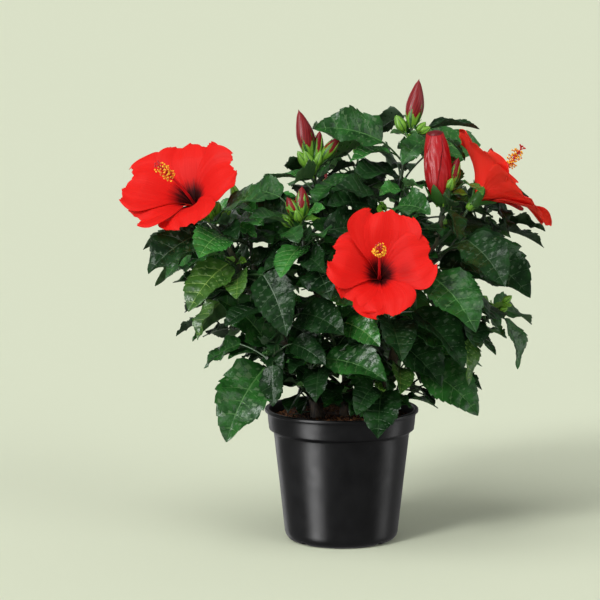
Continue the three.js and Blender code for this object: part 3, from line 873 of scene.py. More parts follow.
class Leaf:
    """A leaf on its stalk, which leaves a shoot at a node."""

    def __init__(
        self,
        node: Array,
        heading: float,
        pitch: float,
        length: float,
        stalk: float,
        roll: float | None = None,
    ) -> None:
        """Stands at a node with a heading and a pitch; its face is rolled, or turned outwards.

        Args:
            node: Where its stalk starts.
            heading: Its heading, in degrees.
            pitch: How far it points up, in degrees.
            length: How long its blade is.
            stalk: How long its stalk is.
            roll: How far its face is rolled, in degrees, where it isn't turned outwards.
        """
        self.node = node
        self.heading, self.pitch, self.length = heading, pitch, length
        self.base = node + direction(heading, pitch / 2 + LEAF.stalk_lift) * stalk
        self.ahead = direction(heading, 0.0)
        self.side = np.cross(UP, self.ahead)
        outside = unit(self.base * (1, 1, 0))
        turned = LEAF.turn_out * float(self.side @ outside) if roll is None else roll
        self.roll = math.radians(turned)
        self.tint = DARK

    def facing(self, share: Array, twist: float = 0.0) -> tuple[Array, Array]:
        """The directions off the face and to the side of the blade.

        Args:
            share: Shares of the midrib.
            twist: How far the blade turns about its midrib by its tip, in radians.

        Returns:
            Unit vectors off the face and to the side.
        """
        flat = direction(self.heading, self.pitch - LEAF.curl * share + 90)
        roll = (self.roll + twist * share)[..., None]
        face = flat * np.cos(roll) + self.side * np.sin(roll)
        return face, self.side * np.cos(roll) - flat * np.sin(roll)

    def point(
        self,
        share: Array,
        across: Array,
        lift: Array | float = 0.0,
        fold: float = LEAF.fold,
        twist: float = 0.0,
    ) -> Array:
        """Points of the blade.

        Args:
            share: Shares of the midrib.
            across: Places across, from -1 to 1.
            lift: How far off the face.
            fold: How far the halves fold up, in degrees.
            twist: How far the blade turns by its tip, in radians.

        Returns:
            The points.
        """
        run, rise = arc(self.pitch, LEAF.curl, share)
        half = self.length * LEAF.width_share * leaf_width(share) / 2
        face, side = self.facing(share, twist)
        level = across * half * math.cos(math.radians(fold))
        high = np.abs(across) * half * math.sin(math.radians(fold)) + lift
        point = self.base + (run * self.length)[..., None] * self.ahead
        point = point + (rise * self.length)[..., None] * UP
        return point + level[..., None] * side + high[..., None] * face

    def room(self, radius: float = LEAF.room) -> Room:
        """The space the leaf takes, with balls of one radius over its blade.

        Args:
            radius: The radius of the balls.

        Returns:
            The room.
        """
        rows, columns = 0.05 + 0.09 * np.arange(11), 0.3 * np.arange(-3, 4)
        share, across = np.meshgrid(rows, columns, indexing="ij")
        blade = Room.of(self.point(share, across), radius, blade=True)
        stalk = np.array([self.node + (self.base - self.node) * i / 4 for i in (2, 3)])
        return blade.joined(Room.of(stalk, radius / 2))


class Bud:
    """A flower bud on its stalk, egg-shaped with a pointed tip."""

    def __init__(
        self, node: Array, heading: float, pitch: float, stalk: float, length: float, width: float
    ) -> None:
        """Stands at a node, pointing along a heading and a pitch."""
        self.node, self.along = node, direction(heading, pitch)
        self.stalk, self.length, self.width = stalk, length, width

    def at(self, distance: float | Array) -> Array:
        """Points at distances along the bud's axis."""
        return self.node + np.asarray(distance, float)[..., None] * self.along

    def radius_at(self, share: Array) -> Array:
        """How thick the bud is at a share of its length."""
        return self.width / 2 * (0.16 + 0.84 * np.sin(math.pi * np.minimum(1, share) ** 0.75))

    def room(self) -> Room:
        """The space the bud takes.

        Returns:
            The room of its body and its stalk.
        """
        shares = np.linspace(0, 1, math.ceil(self.length / 5) + 1)
        path = self.at(self.stalk + shares * self.length)
        body = Room.of(path, self.radius_at(shares) + WOOD_ROOM)
        return body.joined(Room.of(self.at(np.arange(6, self.stalk, 4.0)), 1.3 + WOOD_ROOM))


@dataclass(frozen=True)
class PetalRule:
    """The form of a petal: tilts in degrees, shares of its length or its width, and a radius."""

    start_tilt: float = 24.0
    end_tilt: float = 88.0
    width_share: float = 0.86
    cup: float = 0.1
    overlap: float = 0.12
    heart_radius: float = 2.0


PETAL = PetalRule()


def petal_width(share: Array) -> Array:
    """How wide a petal is along its length, 1 where it is widest.

    Args:
        share: Shares of its length.

    Returns:
        The widths there.
    """
    spread = 0.16 + 0.84 * np.sin(math.pi / 2 * np.minimum(1, share / 0.66) ** 1.2)
    past = np.maximum(0, share - 0.66) / 0.36
    return spread * np.sqrt(1 - past * past)


def petal_half(length: float, share: Array) -> Array:
    """Half the width of a petal of a length, at shares of it."""
    return length * PETAL.width_share * petal_width(share) / 2


def petal_run(share: Array) -> tuple[Array, Array, Array]:
    """How a petal of length 1 runs away from the heart.

    Args:
        share: Shares of its length.

    Returns:
        How far it has gone outwards and along the axis, and its tilt in radians with one more axis.
    """
    opening = PETAL.end_tilt - PETAL.start_tilt
    outward, along = arc(90 - PETAL.start_tilt, opening, share)
    return outward, along, np.radians(PETAL.start_tilt + opening * share)[..., None]


class Bloom:
    """An open bloom: five overlapping petals, a calyx behind them and a column in the middle."""

    def __init__(
        self, stalk: Branch, heart: Array, facing: Row, petals: Rows, column: float
    ) -> None:
        """Its petals spring from its heart round the way it faces.

        Args:
            stalk: Its stalk.
            heart: Where its petals spring from.
            facing: The heading and the pitch of its axis.
            petals: The place round the axis, in degrees, and the length of each petal.
            column: How long its column is.
        """
        self.stalk, self.heart = stalk, heart
        self.axis = direction(*facing)
        self.high = direction(facing[0], facing[1] + 90)
        self.right = np.cross(self.high, self.axis)
        self.petals, self.column = petals, column
        self.sway = np.zeros(3)

    def petal_point(
        self, angle: float, length: float, share: Array, across: Array, lift: Array | float = 0.0
    ) -> Array:
        """Points of a petal.

        Args:
            angle: The petal's place round the axis, in degrees.
            length: Its length.
            share: Shares of its length.
            across: Places across it, from -1 to 1.
            lift: How far off its inner face.

        Returns:
            The points.
        """
        turn = math.radians(angle)
        out = self.right * math.cos(turn) + self.high * math.sin(turn)
        about = np.cross(self.axis, out)
        outward, along, tilt = petal_run(share)
        inner = np.sin(tilt) * self.axis - np.cos(tilt) * out
        half = petal_half(length, share)
        rise = (across * across * PETAL.cup + across * PETAL.overlap) * half + lift
        point = self.heart + (along * length)[..., None] * self.axis
        point = point + (outward * length + PETAL.heart_radius)[..., None] * out
        return point + (across * half)[..., None] * about + rise[..., None] * inner

    def column_at(self, share: float | Array) -> Array:
        """Points of the column's middle line, which rises a little towards its tip.

        Args:
            share: Shares of its length.

        Returns:
            The points.
        """
        foot, middle = self.heart - 2 * self.axis, self.heart + self.axis * (self.column / 2)
        tip = self.heart + self.axis * self.column + self.high * (self.column * 0.1) + self.sway
        return bent(foot, middle, tip, share)

    def room(self) -> Room:
        """The space the bloom takes.

        Returns:
            The room of its column, its petals and its stalk.
        """
        share, across = np.meshgrid(np.arange(9) / 8, np.arange(-3, 4) / 3, indexing="ij")
        room = Room.of(self.column_at(np.arange(13) / 12), LEAF.room)
        for angle, length in self.petals:
            room = room.joined(Room.of(self.petal_point(angle, length, share, across), LEAF.room))
        return room.joined(self.stalk.room())


class Taken:
    """The room already taken, owner by owner, and whether something new is clear of it."""

    def __init__(self) -> None:
        """Starts with nothing taken."""
        self.parts: list[tuple[str, Room]] = []
        self.middles = np.zeros((0, 3))
        self.reaches = np.zeros(0)

    def add(self, owner: str, room: Room) -> None:
        """Takes a room for an owner.

        Args:
            owner: Who takes it.
            room: The room.
        """
        middle, reach = room.sphere()
        self.parts.append((owner, room))
        self.middles = np.concatenate((self.middles, middle[None]))
        self.reaches = np.append(self.reaches, reach)

    def clear(self, owner: str, room: Room) -> bool:
        """Whether an owner's new room is clear of the pot and of all that is taken.

        Args:
            owner: Who needs it, whose own parts may come closer.
            room: The room.

        Returns:
            Whether it is clear.
        """
        radius = np.hypot(room.middles[:, 0], room.middles[:, 1])
        floor = np.where(radius < POT_INSIDE, POT_ABOVE, POT_RIM)
        if np.any((radius < POT_OUTSIDE) & (room.middles[:, 2] < floor)):
            return False
        middle, reach = room.sphere()
        away = np.linalg.norm(self.middles - middle, axis=1)
        for i in np.nonzero(away < self.reaches + reach)[0]:
            other, part = self.parts[i]
            apart = room.middles[:, None] - part.middles[None]
            needed = room.radii[:, None] + part.radii[None]
            close = np.einsum("ijk,ijk->ij", apart, apart)
            if other == owner:
                both = room.blade[:, None] & part.blade[None]
                if np.any(both & (close < (needed * OWN_SHARE) ** 2)):
                    return False
            elif np.any(close < needed**2):
                return False
        return True


def in_crown(room: Room) -> bool:
    """Whether every ball lies inside the crown."""
    parts = (room.middles - CROWN_MIDDLE) / CROWN_RADII
    return bool(np.all(np.linalg.norm(parts, axis=1) < 1))


# The shrub's named sizes, as in the solids


@dataclass(frozen=True)
class Limb:
    """A stem or a bough: what it leaves and where, its lean there, its tip and two radii."""

    parent: str
    share: float
    tip: Row
    radii: Row
    lean: Row | None = None


@dataclass(frozen=True)
class Mass:
    """One leafy shoot of the crown, and what it carries.

    "shown" rows are share, heading, pitch, length, stalk and perhaps roll; "buds" rows are share,
    heading, pitch, stalk, length and width; "more" leaves come by the rule. "tints" are those of
    the shown leaves in their order, where they aren't the tint of the mass.
    """

    parent: str
    share: float
    tip: Row
    more: int
    tint: Tint
    shown: Rows = ()
    buds: Rows = ()
    lean: Row | None = None
    fine: int = 7
    tints: tuple[Tint, ...] = ()


# Stems: foot, lean at the foot as heading and pitch, tip and two radii.
STEM_FOOT = 134.0
STEM_FLARE = 3.0
STEMS = {
    "stem_left": ((-26, 6), (150, 80), (-64, -14, 226), (6.5, 4.4)),
    "stem_middle": ((6, 14), (60, 86), (2, 12, 252), (7, 4.6)),
    "stem_right": ((44, -8), (-45, 80), (98, -58, 337), (6.5, 3.6)),
}

BOUGHS = {
    "bough_left": Limb("stem_left", 1, (-125, -60, 338), (4.4, 2.8)),
    "bough_left_upper": Limb("stem_left", 0.85, (-98, -14, 316), (3.4, 2.6), (170, 50)),
    "bough_left_mid": Limb("stem_left", 0.66, (-102, -46, 262), (3.4, 2.6), (-160, 30)),
    "bough_top_left": Limb("stem_middle", 1, (-20, 14, 352), (4.6, 3)),
    "bough_top": Limb("stem_middle", 0.86, (60, 6, 372), (3.8, 2.9), (-10, 50)),
    "bough_front_left": Limb("stem_middle", 0.72, (-34, -58, 296), (3.6, 2.7), (-125, 40)),
    "bough_front": Limb("stem_middle", 0.48, (30, -78, 244), (3.6, 2.7), (-80, 35)),
    "bough_right_top": Limb("stem_right", 1, (105, -54, 359), (3.6, 3)),
    "bough_right_low": Limb("stem_right", 0.42, (122, -42, 236), (3.4, 2.6), (-5, 30)),
    "bough_right_back": Limb("stem_right", 0.8, (140, 30, 322), (3, 2.5), (50, 35)),
    "bough_back_left": Limb("stem_left", 0.5, (-98, 62, 278), (3.4, 2.6), (130, 45)),
    "bough_back": Limb("stem_middle", 0.62, (-8, 84, 300), (3.6, 2.7), (100, 45)),
    "bough_back_right": Limb("stem_right", 0.3, (92, 66, 276), (3.4, 2.6), (70, 45)),
    "bough_back_top": Limb("stem_middle", 0.78, (14, 52, 365), (3.4, 2.7), (70, 55)),
}

SHOOT_RADII = (2.5, 1.6)
FLOWER_STALK_RADII = (2.4, 1.9)

MASSES = {
    "foliage_top_left": Mass(
        "bough_top_left", 1, (-30, 8, 411), 3, MID,
        shown=((0.5, 140, 10, 55, 30), (0.65, -55, 0, 60, 15), (0.5, 40, 35, 42, 25)),
        buds=((1, 180, 75, 14, 55, 17), (1, 40, 80, 8, 36, 12), (1, -20, 52, 16, 32, 12),
              (0.85, -160, 55, 12, 24, 11)),
        tints=(BRIGHT, MID, DARK),
    ),
    "foliage_top": Mass(
        "bough_top", 1, (75, 5, 446), 3, MID,
        shown=((0.6, 190, 30, 78, 35, 45), (0.9, -100, -20, 30, 10), (0.25, 20, 20, 85, 45, -45),
               (0.35, 220, 20, 62, 10, 30), (0.15, -60, 10, 48, 25)),
        buds=((1, 0, 82, 12, 54, 17), (1, 170, 55, 10, 20, 12), (1, -10, 30, 12, 14, 9)),
        tints=(MID, MID, BRIGHT, DARK, MID),
    ),
    "foliage_right_top": Mass(
        "bough_right_top", 1, (112, -46, 388), 1, MID,
        shown=((0.25, -75, -25, 45, 30), (0.7, 65, 50, 45, 25)),
        buds=((0.3, 150, 84, 9, 80, 30), (1, 10, 72, 9, 34, 13)),
        tints=(DARK, MID),
    ),
    "foliage_left_top": Mass(
        "bough_left", 1, (-143, -62, 360), 2, MID,
        shown=((0.1, -125, 15, 66, 12, 30), (0.1, -160, -15, 78, 25, 40), (0.65, 185, -25, 52, 35),
               (0.4, 160, 0, 55, 20)),
        tints=(BRIGHT, DARK, DARK, DARK),
    ),
    "foliage_left_upper": Mass(
        "bough_left_upper", 1, (-108, -4, 358), 5, MID,
        shown=((0.7, 50, 35, 62, 12, -30), (0.4, -60, 15, 45, 10)),
        buds=((1, 180, 72, 20, 22, 10),),
        tints=(DARK, MID),
    ),
    "foliage_front_left": Mass(
        "bough_front_left", 1, (-44, -74, 362), 3, DARK,
        shown=((0.5, 140, 25, 42, 25), (0.6, -115, -10, 58, 10), (1, 140, 20, 60, 40, 30),
               (1, -45, 35, 26, 15), (0.35, -70, -10, 72, 12)),
        buds=((1, 90, 86, 6, 34, 14), (0.95, 190, 62, 9, 26, 12), (0.8, 200, 40, 18, 16, 8)),
        tints=(MID, BRIGHT, MID, BRIGHT, DARK),
    ),
    "foliage_left_mid": Mass(
        "bough_left_mid", 1, (-114, -58, 312), 5, MID,
        shown=((1, -136, -20, 75, 14, 25), (0.8, -105, 5, 50, 10), (0.1, -170, -40, 48, 30),
               (0.76, -60, -38, 75, 45)),
        tints=(OLIVE, OLIVE, OLIVE, DARK),
    ),
    "foliage_left_low": Mass(
        "stem_left", 0.45, (-82, -72, 214), 5, DARK,
        shown=((0.75, 188, 55, 80, 25, 70), (1, 155, -15, 55, 35, 35),
               (0.15, -130, -30, 98, 65, 35), (0.85, -90, -60, 45, 30), (0.85, -35, -18, 66, 12)),
        lean=(-120, 25),
        tints=(MID, MID, MID, DARK, DARK),
    ),
    "foliage_centre_left": Mass(
        "stem_left", 0.75, (-66, -74, 258), 6, DARK,
        shown=((0.75, -45, -5, 48, 12), (0.85, -45, 5, 68, 30), (1, -115, 5, 55, 35)),
        lean=(-100, 25),
    ),
    "foliage_centre": Mass(
        "stem_middle", 0.34, (-14, -78, 246), 6, DARK,
        shown=((1, -15, -5, 56, 25, -45),),
        lean=(-100, 30),
        tints=(BRIGHT,),
    ),
    "foliage_front": Mass(
        "bough_front", 0.6, (50, -98, 262), 5, MID,
        shown=((0.3, -20, -20, 88, 12), (1, -30, -25, 84, 30)),
        lean=(-40, 20),
        tints=(DARK, DARK),
    ),
    "foliage_centre_top": Mass(
        "stem_right", 0.78, (50, -42, 366), 5, DARK,
        shown=((1, -55, 15, 58, 20, -40), (1, -140, 30, 60, 30)),
        lean=(140, 40),
        tints=(MID, DARK),
    ),
    "foliage_right_mid": Mass(
        "stem_right", 0.72, (86, -94, 300), 5, MID,
        shown=((0.9, -55, -15, 92, 20, -25), (0.4, -95, -60, 42, 25)),
        lean=(-100, 25),
        tints=(MID, MID),
    ),
    "foliage_right_upper": Mass(
        "stem_right", 0.9, (132, -56, 342), 4, DARK,
        shown=((0.15, -20, -15, 95, 35, -50), (0.35, -55, -15, 78, 50, -30)),
        lean=(0, 20),
    ),
    "foliage_right_low": Mass(
        "bough_right_low", 1, (162, -50, 262), 5, MID,
        shown=((0.85, -25, -55, 58, 20), (0.15, -85, 0, 68, 45), (0.1, -70, -55, 56, 12),
               (0.9, 110, 35, 24, 10)),
        buds=((1, -10, 40, 16, 13, 8), (0.9, -30, 25, 14, 11, 7)),
        tints=(MID, DARK, OLIVE, YOUNG),
    ),
    "foliage_low_right": Mass(
        "stem_right", 0.2, (84, -62, 200), 6, MID,
        shown=((0.75, -15, -10, 82, 12, -45), (0.4, -55, 0, 58, 40), (0.15, 55, 35, 38, 12)),
        lean=(-60, 30),
        tints=(MID, OLIVE, DARK),
    ),
    "foliage_skirt": Mass(
        "stem_right", 0.08, (44, -60, 172), 4, DARK,
        shown=((0.9, -95, -12, 76, 14, 0), (1, -115, -10, 50, 30)),
        lean=(-110, 25),
        fine=10,
    ),
    "foliage_skirt_left": Mass(
        "stem_left", 0.2, (-44, -48, 176), 3, DARK,
        shown=((0.15, -105, 0, 45, 12), (1, -70, -10, 42, 12), (0.6, -40, 15, 50, 10)),
        lean=(-100, 20),
        fine=12,
    ),
    "foliage_right_back": Mass(
        "bough_right_back", 1, (160, 44, 366), 6, DARK,
        shown=((0.95, -70, -15, 46, 32),),
        buds=((1, 60, 78, 38, 30, 13),),
    ),
    "foliage_back_left": Mass("bough_back_left", 1, (-126, 80, 322), 9, MID),
    "foliage_back_left_low": Mass(
        "bough_back_left", 0.55, (-122, 50, 226), 9, DARK,
        lean=(160, 10),
    ),
    "foliage_back": Mass(
        "bough_back", 1, (-12, 108, 346), 9, DARK,
        buds=((1, 120, 80, 14, 40, 14),),
    ),
    "foliage_back_low": Mass("stem_middle", 0.36, (-8, 98, 228), 8, DARK, lean=(100, 30)),
    "foliage_back_right": Mass(
        "bough_back_right", 1, (114, 92, 318), 9, MID,
        buds=((1, 30, 70, 14, 24, 12),),
    ),
    "foliage_back_right_low": Mass("bough_back_right", 0.5, (124, 56, 222), 8, DARK, lean=(20, 15)),
    "foliage_back_top": Mass(
        "bough_back_top", 1, (18, 66, 408), 8, MID,
        buds=((1, 60, 82, 12, 30, 12),),
    ),
    "foliage_low_middle": Mass(
        "stem_middle", 0.2, (-34, -84, 206), 3, DARK,
        shown=((1, -30, 5, 78, 20, -35), (0.8, -95, -20, 50, 12)),
        lean=(-110, 35),
        tints=(MID, DARK),
        fine=12,
    ),
    "foliage_skirt_middle": Mass(
        "stem_middle", 0.1, (2, -36, 166), 3, DARK,
        shown=((1, -60, 5, 52, 12), (1, -125, 0, 52, 12)),
        lean=(-95, 35),
        fine=12,
    ),
    "foliage_skirt_right": Mass(
        "stem_right", 0.12, (80, -20, 178), 3, DARK,
        shown=((0.7, -70, 10, 48, 10),),
        lean=(-15, 30),
    ),
}

# Blooms: limb and share, lean, heart, facing, petals as angle and length, length of the column.
BLOOMS = {
    "bloom_front": (
        ("bough_front", 1, None),
        (37, -112, 313),
        (-92, 25),
        ((75, 74), (160, 70), (232, 66), (296, 70), (16, 76)),
        68,
    ),
    "bloom_left": (
        ("bough_left", 0.84, (160, 60)),
        (-158, -39, 372),
        (-118, 42),
        ((18, 76), (80, 72), (190, 86), (226, 82), (288, 70)),
        66,
    ),
    "bloom_right": (
        ("stem_right", 0.96, (30, 30)),
        (143, -38, 375),
        (12, 42),
        ((52, 82), (124, 80), (196, 84), (268, 90), (340, 82)),
        74,
    ),
}
CALYX_BACK, CALYX_FRONT, CALYX_RADIUS = 9.0, 14.0, 8.0

# Lesser buds that crowd a shoot's tip: share, heading, pitch, stalk and length.
LESSER_BUDS = {
    "foliage_top_left": (
        (0.9, -150, 64, 8, 23),
        (0.84, -95, 60, 8, 16),
        (0.9, -50, 68, 10, 19),
        (0.8, -120, 45, 10, 14),
    ),
    "foliage_top": ((0.94, -165, 62, 12, 21), (0.94, -10, 50, 12, 16), (0.9, -90, 35, 10, 11)),
    "foliage_left_top": (
        (0.9, -150, 50, 10, 20),
        (0.86, -100, 40, 14, 18),
        (0.94, -60, 55, 12, 19),
        (0.8, -30, 45, 14, 17),
        (0.84, 170, 35, 10, 15),
    ),
    "foliage_front_left": ((0.9, -110, 50, 12, 18), (0.86, 170, 40, 14, 15)),
    "foliage_right_top": ((0.9, -70, 50, 12, 18), (0.85, -150, 45, 12, 14)),
}


@dataclass(frozen=True)
class Opening:
    """How an open bloom lies beside its plainer solid, in millimetres and degrees.

    "shift" moves the heart and "sway" the column's tip, "column" stretches it, "anthers" are the
    shares of it that carry them. "petals" rows are turn, and scales of length and width.
    """

    shift: Row
    sway: Row
    column: float
    anthers: Row
    petals: Rows

    def applied(self, bloom: Bloom) -> Bloom:
        """The bloom as it lies open.

        Args:
            bloom: The bloom as it is in the solids.

        Returns:
            A changed copy of it.
        """
        opened = copy.copy(bloom)
        stalk = bloom.stalk
        lean = unit(stalk.bend - stalk.start)
        opened.stalk = Branch(stalk.start, lean, stalk.tip + self.shift, stalk.radii)
        opened.heart = bloom.heart + self.shift
        opened.column = bloom.column * self.column
        opened.sway = np.array(self.sway, float)
        return opened


OPENINGS = {
    "bloom_front": Opening(
        (1, 0, -8), (0, 0, 2), 1.12, (0.84, 0.985),
        ((8, 1.12, 1.08), (2, 0.98, 1.12), (-4, 0.93, 1.16), (-16, 0.95, 1.16), (2, 0.98, 1.12)),
    ),
    "bloom_left": Opening(
        (0, 0, 2), (-13, 0, -8), 1.14, (0.7, 0.985),
        ((10, 1.03, 1.1), (20, 1.05, 1.14), (-8, 1.03, 1.1), (-4, 1, 1.1), (8, 1.03, 1.1)),
    ),
    "bloom_right": Opening(
        (-2, 0, 2), (0, 0, 0), 1.04, (0.7, 0.985),
        ((0, 1.05, 1.1), (0, 1.05, 1.12), (0, 1, 1.16), (0, 1.03, 1.1), (0, 1.03, 1.1)),
    ),
}

# Lines of sight that stay open for sky, blooms or buds: x and z at y = 0, a radius, and the y up
# to which nothing stands in them. They dip towards the back by this slope.
SIGHT_SLOPE = math.tan(math.radians(8.0))
OPEN_SIGHTS: Rows = (
    (30, 428, 19, math.inf), (-59, 395, 9, math.inf), (121, 320, 15, math.inf),
    (96, 273, 13, math.inf), (126, 191, 10, math.inf), (73, 179, 10, math.inf),
    (171, 273, 8, math.inf), (-70, 163, 7, math.inf), (-89, 323, 8, math.inf),
    (100, 361, 9, math.inf), (77, 409, 9, math.inf), (190, 245, 15, math.inf),
    (-167, 228, 12, math.inf), (-132, 378, 9, math.inf), (98, 462, 10, math.inf),
    (-156, 395, 46, -40), (42, 300, 56, -112), (101, 437, 15, -40), (103, 408, 15, -40),
    (-26, 422, 25, 10), (64, 462, 10, 5), (150, 358, 16, -30), (134, 372, 11, -55),
)


def sight_stays_open(room: Room) -> bool:
    """Whether none of the open lines of sight is shut by what takes this room.

    Args:
        room: The room.

    Returns:
        Whether all of them stay open.
    """
    for x, z, radius, behind in OPEN_SIGHTS:
        level = room.middles[:, 0] - x
        high = room.middles[:, 2] - z + SIGHT_SLOPE * room.middles[:, 1]
        if np.any((np.hypot(level, high) < radius + 1) & (room.middles[:, 1] < behind)):
            return False
    return True


@dataclass
class Spray:
    """A shoot or a fine twig with the leaves and buds it carries."""

    wood: Branch
    leaves: list[Leaf] = field(default_factory=list)
    buds: list[Bud] = field(default_factory=list)


@dataclass(frozen=True)
class LeafRanges:
    """The leaves that a shoot gets by the rule: where, their pitch, length and stalk's share."""

    span: Row = (0.25, 1.0)
    pitch: Row = (-15.0, 30.0)
    pitch_spread: float = 30.0
    length: Row = (56.0, 84.0)
    stalk: Row = (0.3, 0.5)


@dataclass(frozen=True)
class FineTwigRule:
    """How finer twigs leave their wood, how far they reach, and how small their leaves are.

    "pitch" and "stalk" are those of their leaves; "rise", "bend" and "sway" those of the twigs.
    """

    span: Row
    reach: Row
    leaf: Row
    leaves: int
    pitch: Row = (-25.0, 35.0)
    radii: Row = (1.1, 0.7)
    room: float = 2.7
    rise: Row = (-20.0, 50.0)
    bend: float = 15.0
    sway: float = 30.0
    leaf_span: Row = (0.35, 1.0)
    leaf_spread: float = 50.0
    stalk: Row = (0.2, 0.4)


OUTER_TWIGS = FineTwigRule((0.15, 0.95), (20.0, 46.0), (28.0, 52.0), 4)
INNER_TWIGS = FineTwigRule((0.3, 0.95), (16.0, 44.0), (38.0, 62.0), 4)
LOW_TWIGS = FineTwigRule((0.05, 0.3), (12.0, 34.0), (34.0, 56.0), 4, (-15.0, 35.0))
TIP_LEAVES = FineTwigRule((0.97, 0.97), (3.0, 5.0), (14.0, 24.0), 4, (20.0, 60.0), room=1.3)
RULE_LEAVES = LeafRanges()
INNER_TWIG_STEP = 17.0
LOW_TWIG_COUNT = 8
HEADING_SPREAD = 40.0


class Growth:
    """Grows the whole shrub in the order of the solids, then its finer twigs."""

    def __init__(self) -> None:
        """Grows everything."""
        self.taken = Taken()
        self.limbs: dict[str, Branch] = {}
        self.blooms: dict[str, Bloom] = {}
        self.masses: dict[str, list[Spray]] = {}
        self.grow_limbs()
        self.grow_blooms()
        self.grow_masses()
        self.grow_fine_twigs()

    def grow_limbs(self) -> None:
        """Stems first, then the boughs that leave them."""
        for name, (foot, lean, tip, radii) in STEMS.items():
            start = np.array((*foot, STEM_FOOT), float)
            stem = Branch(start, direction(*lean), np.array(tip, float), radii, STEM_FLARE)
            self.limbs[name] = stem
            self.taken.add(name, stem.room())
        for name, limb in BOUGHS.items():
            parent = self.limbs[limb.parent]
            tip = np.array(limb.tip, float)
            self.limbs[name] = Branch.leaving(parent, limb.share, limb.lean, tip, limb.radii)
            self.taken.add(name, self.limbs[name].room())

    def grow_blooms(self) -> None:
        """Each bloom on its stalk."""
        for name, ((parent, share, lean), heart, facing, petals, column) in BLOOMS.items():
            middle = np.array(heart, float)
            end = middle + direction(*facing) * (3 - CALYX_BACK)
            stalk = Branch.leaving(self.limbs[parent], share, lean, end, FLOWER_STALK_RADII)
            self.blooms[name] = Bloom(stalk, middle, facing, petals, column)
            self.taken.add(name, self.blooms[name].room())

    def grow_masses(self) -> None:
        """Shoots and buds, then the leaves of the outline, then the leaves of the rule."""
        for name, mass in MASSES.items():
            tip = np.array(mass.tip, float)
            parent = self.limbs[mass.parent]
            shoot = Branch.leaving(parent, mass.share, mass.lean, tip, SHOOT_RADII)
            self.taken.add(name, shoot.room())
            spray = Spray(shoot)
            for share, *bud in mass.buds:
                spray.buds.append(Bud(shoot.at(min(share, LAST_SHARE)), *bud))
                self.taken.add(name, spray.buds[-1].room())
            self.masses[name] = [spray]
        for name, mass in MASSES.items():
            spray = self.masses[name][0]
            tints = mass.tints or (mass.tint,) * len(mass.shown)
            for (share, *pose), tint in zip(mass.shown, tints):
                self.place(name, spray, share, pose, tint, bounded=False)
        for index, (name, mass) in enumerate(MASSES.items()):
            spray = self.masses[name][0]
            random = Seeded(RULE_SEED_STEP * index + RULE_SEED)
            first = 360 * random()
            for i in range(mass.more):
                share = mix(*RULE_LEAVES.span, (i + 0.5) / mass.more)
                heading = first + NODE_TURN * i + (random() - 0.5) * HEADING_SPREAD
                pitch = mix(*RULE_LEAVES.pitch, share)
                pitch += (random() - 0.5) * RULE_LEAVES.pitch_spread
                length = random.between(*RULE_LEAVES.length)
                pose = [heading, pitch, length, length * random.between(*RULE_LEAVES.stalk)]
                tint = TINT_BESIDE[mass.tint][(7 * i + index) % 3]
                self.place(name, spray, share, pose, tint, bounded=True)

    def place(
        self,
        owner: str,
        spray: Spray,
        share: float,
        pose: Sequence[float],
        tint: Tint,
        bounded: bool,
        room_radius: float = LEAF.room,
    ) -> bool:
        """Puts a leaf at its first turn that is clear, or leaves it out.

        Args:
            owner: The mass that it belongs to.
            spray: The spray that gets it.
            share: Where it stands along the spray's wood.
            pose: Heading, pitch, length, stalk and perhaps roll.
            tint: Its green.
            bounded: Whether it has to stay inside the crown.
            room_radius: The radius of the balls that mark its blade.

        Returns:
            Whether it was put there.
        """
        node = spray.wood.at(min(share, LAST_SHARE))
        heading, pitch, length, stalk, *roll = pose
        for turn, dip, scale in TURNS:
            leaf = Leaf(node, heading + turn, pitch + dip, length * scale, stalk * scale, *roll)
            room = leaf.room(room_radius)
            if bounded and not in_crown(room):
                continue
            if room_radius < LEAF.room and not sight_stays_open(room):
                continue
            if self.taken.clear(owner, room):
                leaf.tint = tint
                self.taken.add(owner, room)
                spray.leaves.append(leaf)
                return True
        return False

    def grow_fine_twigs(self) -> None:
        """Finer twigs, by the same rule and within the same reach, where there is room left."""
        for index, (name, mass) in enumerate(MASSES.items()):
            random = Seeded(TWIG_SEED_STEP * index + TWIG_SEED)
            shoot = self.masses[name][0].wood
            self.sprout(name, shoot, mass.fine, mass.tint, OUTER_TWIGS, random)
            self.sprout(name, shoot, 1, YOUNG, TIP_LEAVES, random)
        for index, (name, limb) in enumerate(self.limbs.items()):
            random = Seeded(LIMB_SEED_STEP * (index + 1))
            starts = {mass: sprays[0].wood.start for mass, sprays in self.masses.items()}
            middle = limb.at(0.6)
            owner = min(starts, key=lambda mass: float(np.linalg.norm(starts[mass] - middle)))
            count = round(limb.length() / INNER_TWIG_STEP)
            self.sprout(owner, limb, count, DARK, INNER_TWIGS, random)
            if name in STEMS:
                self.sprout(owner, limb, LOW_TWIG_COUNT, DARK, LOW_TWIGS, random)

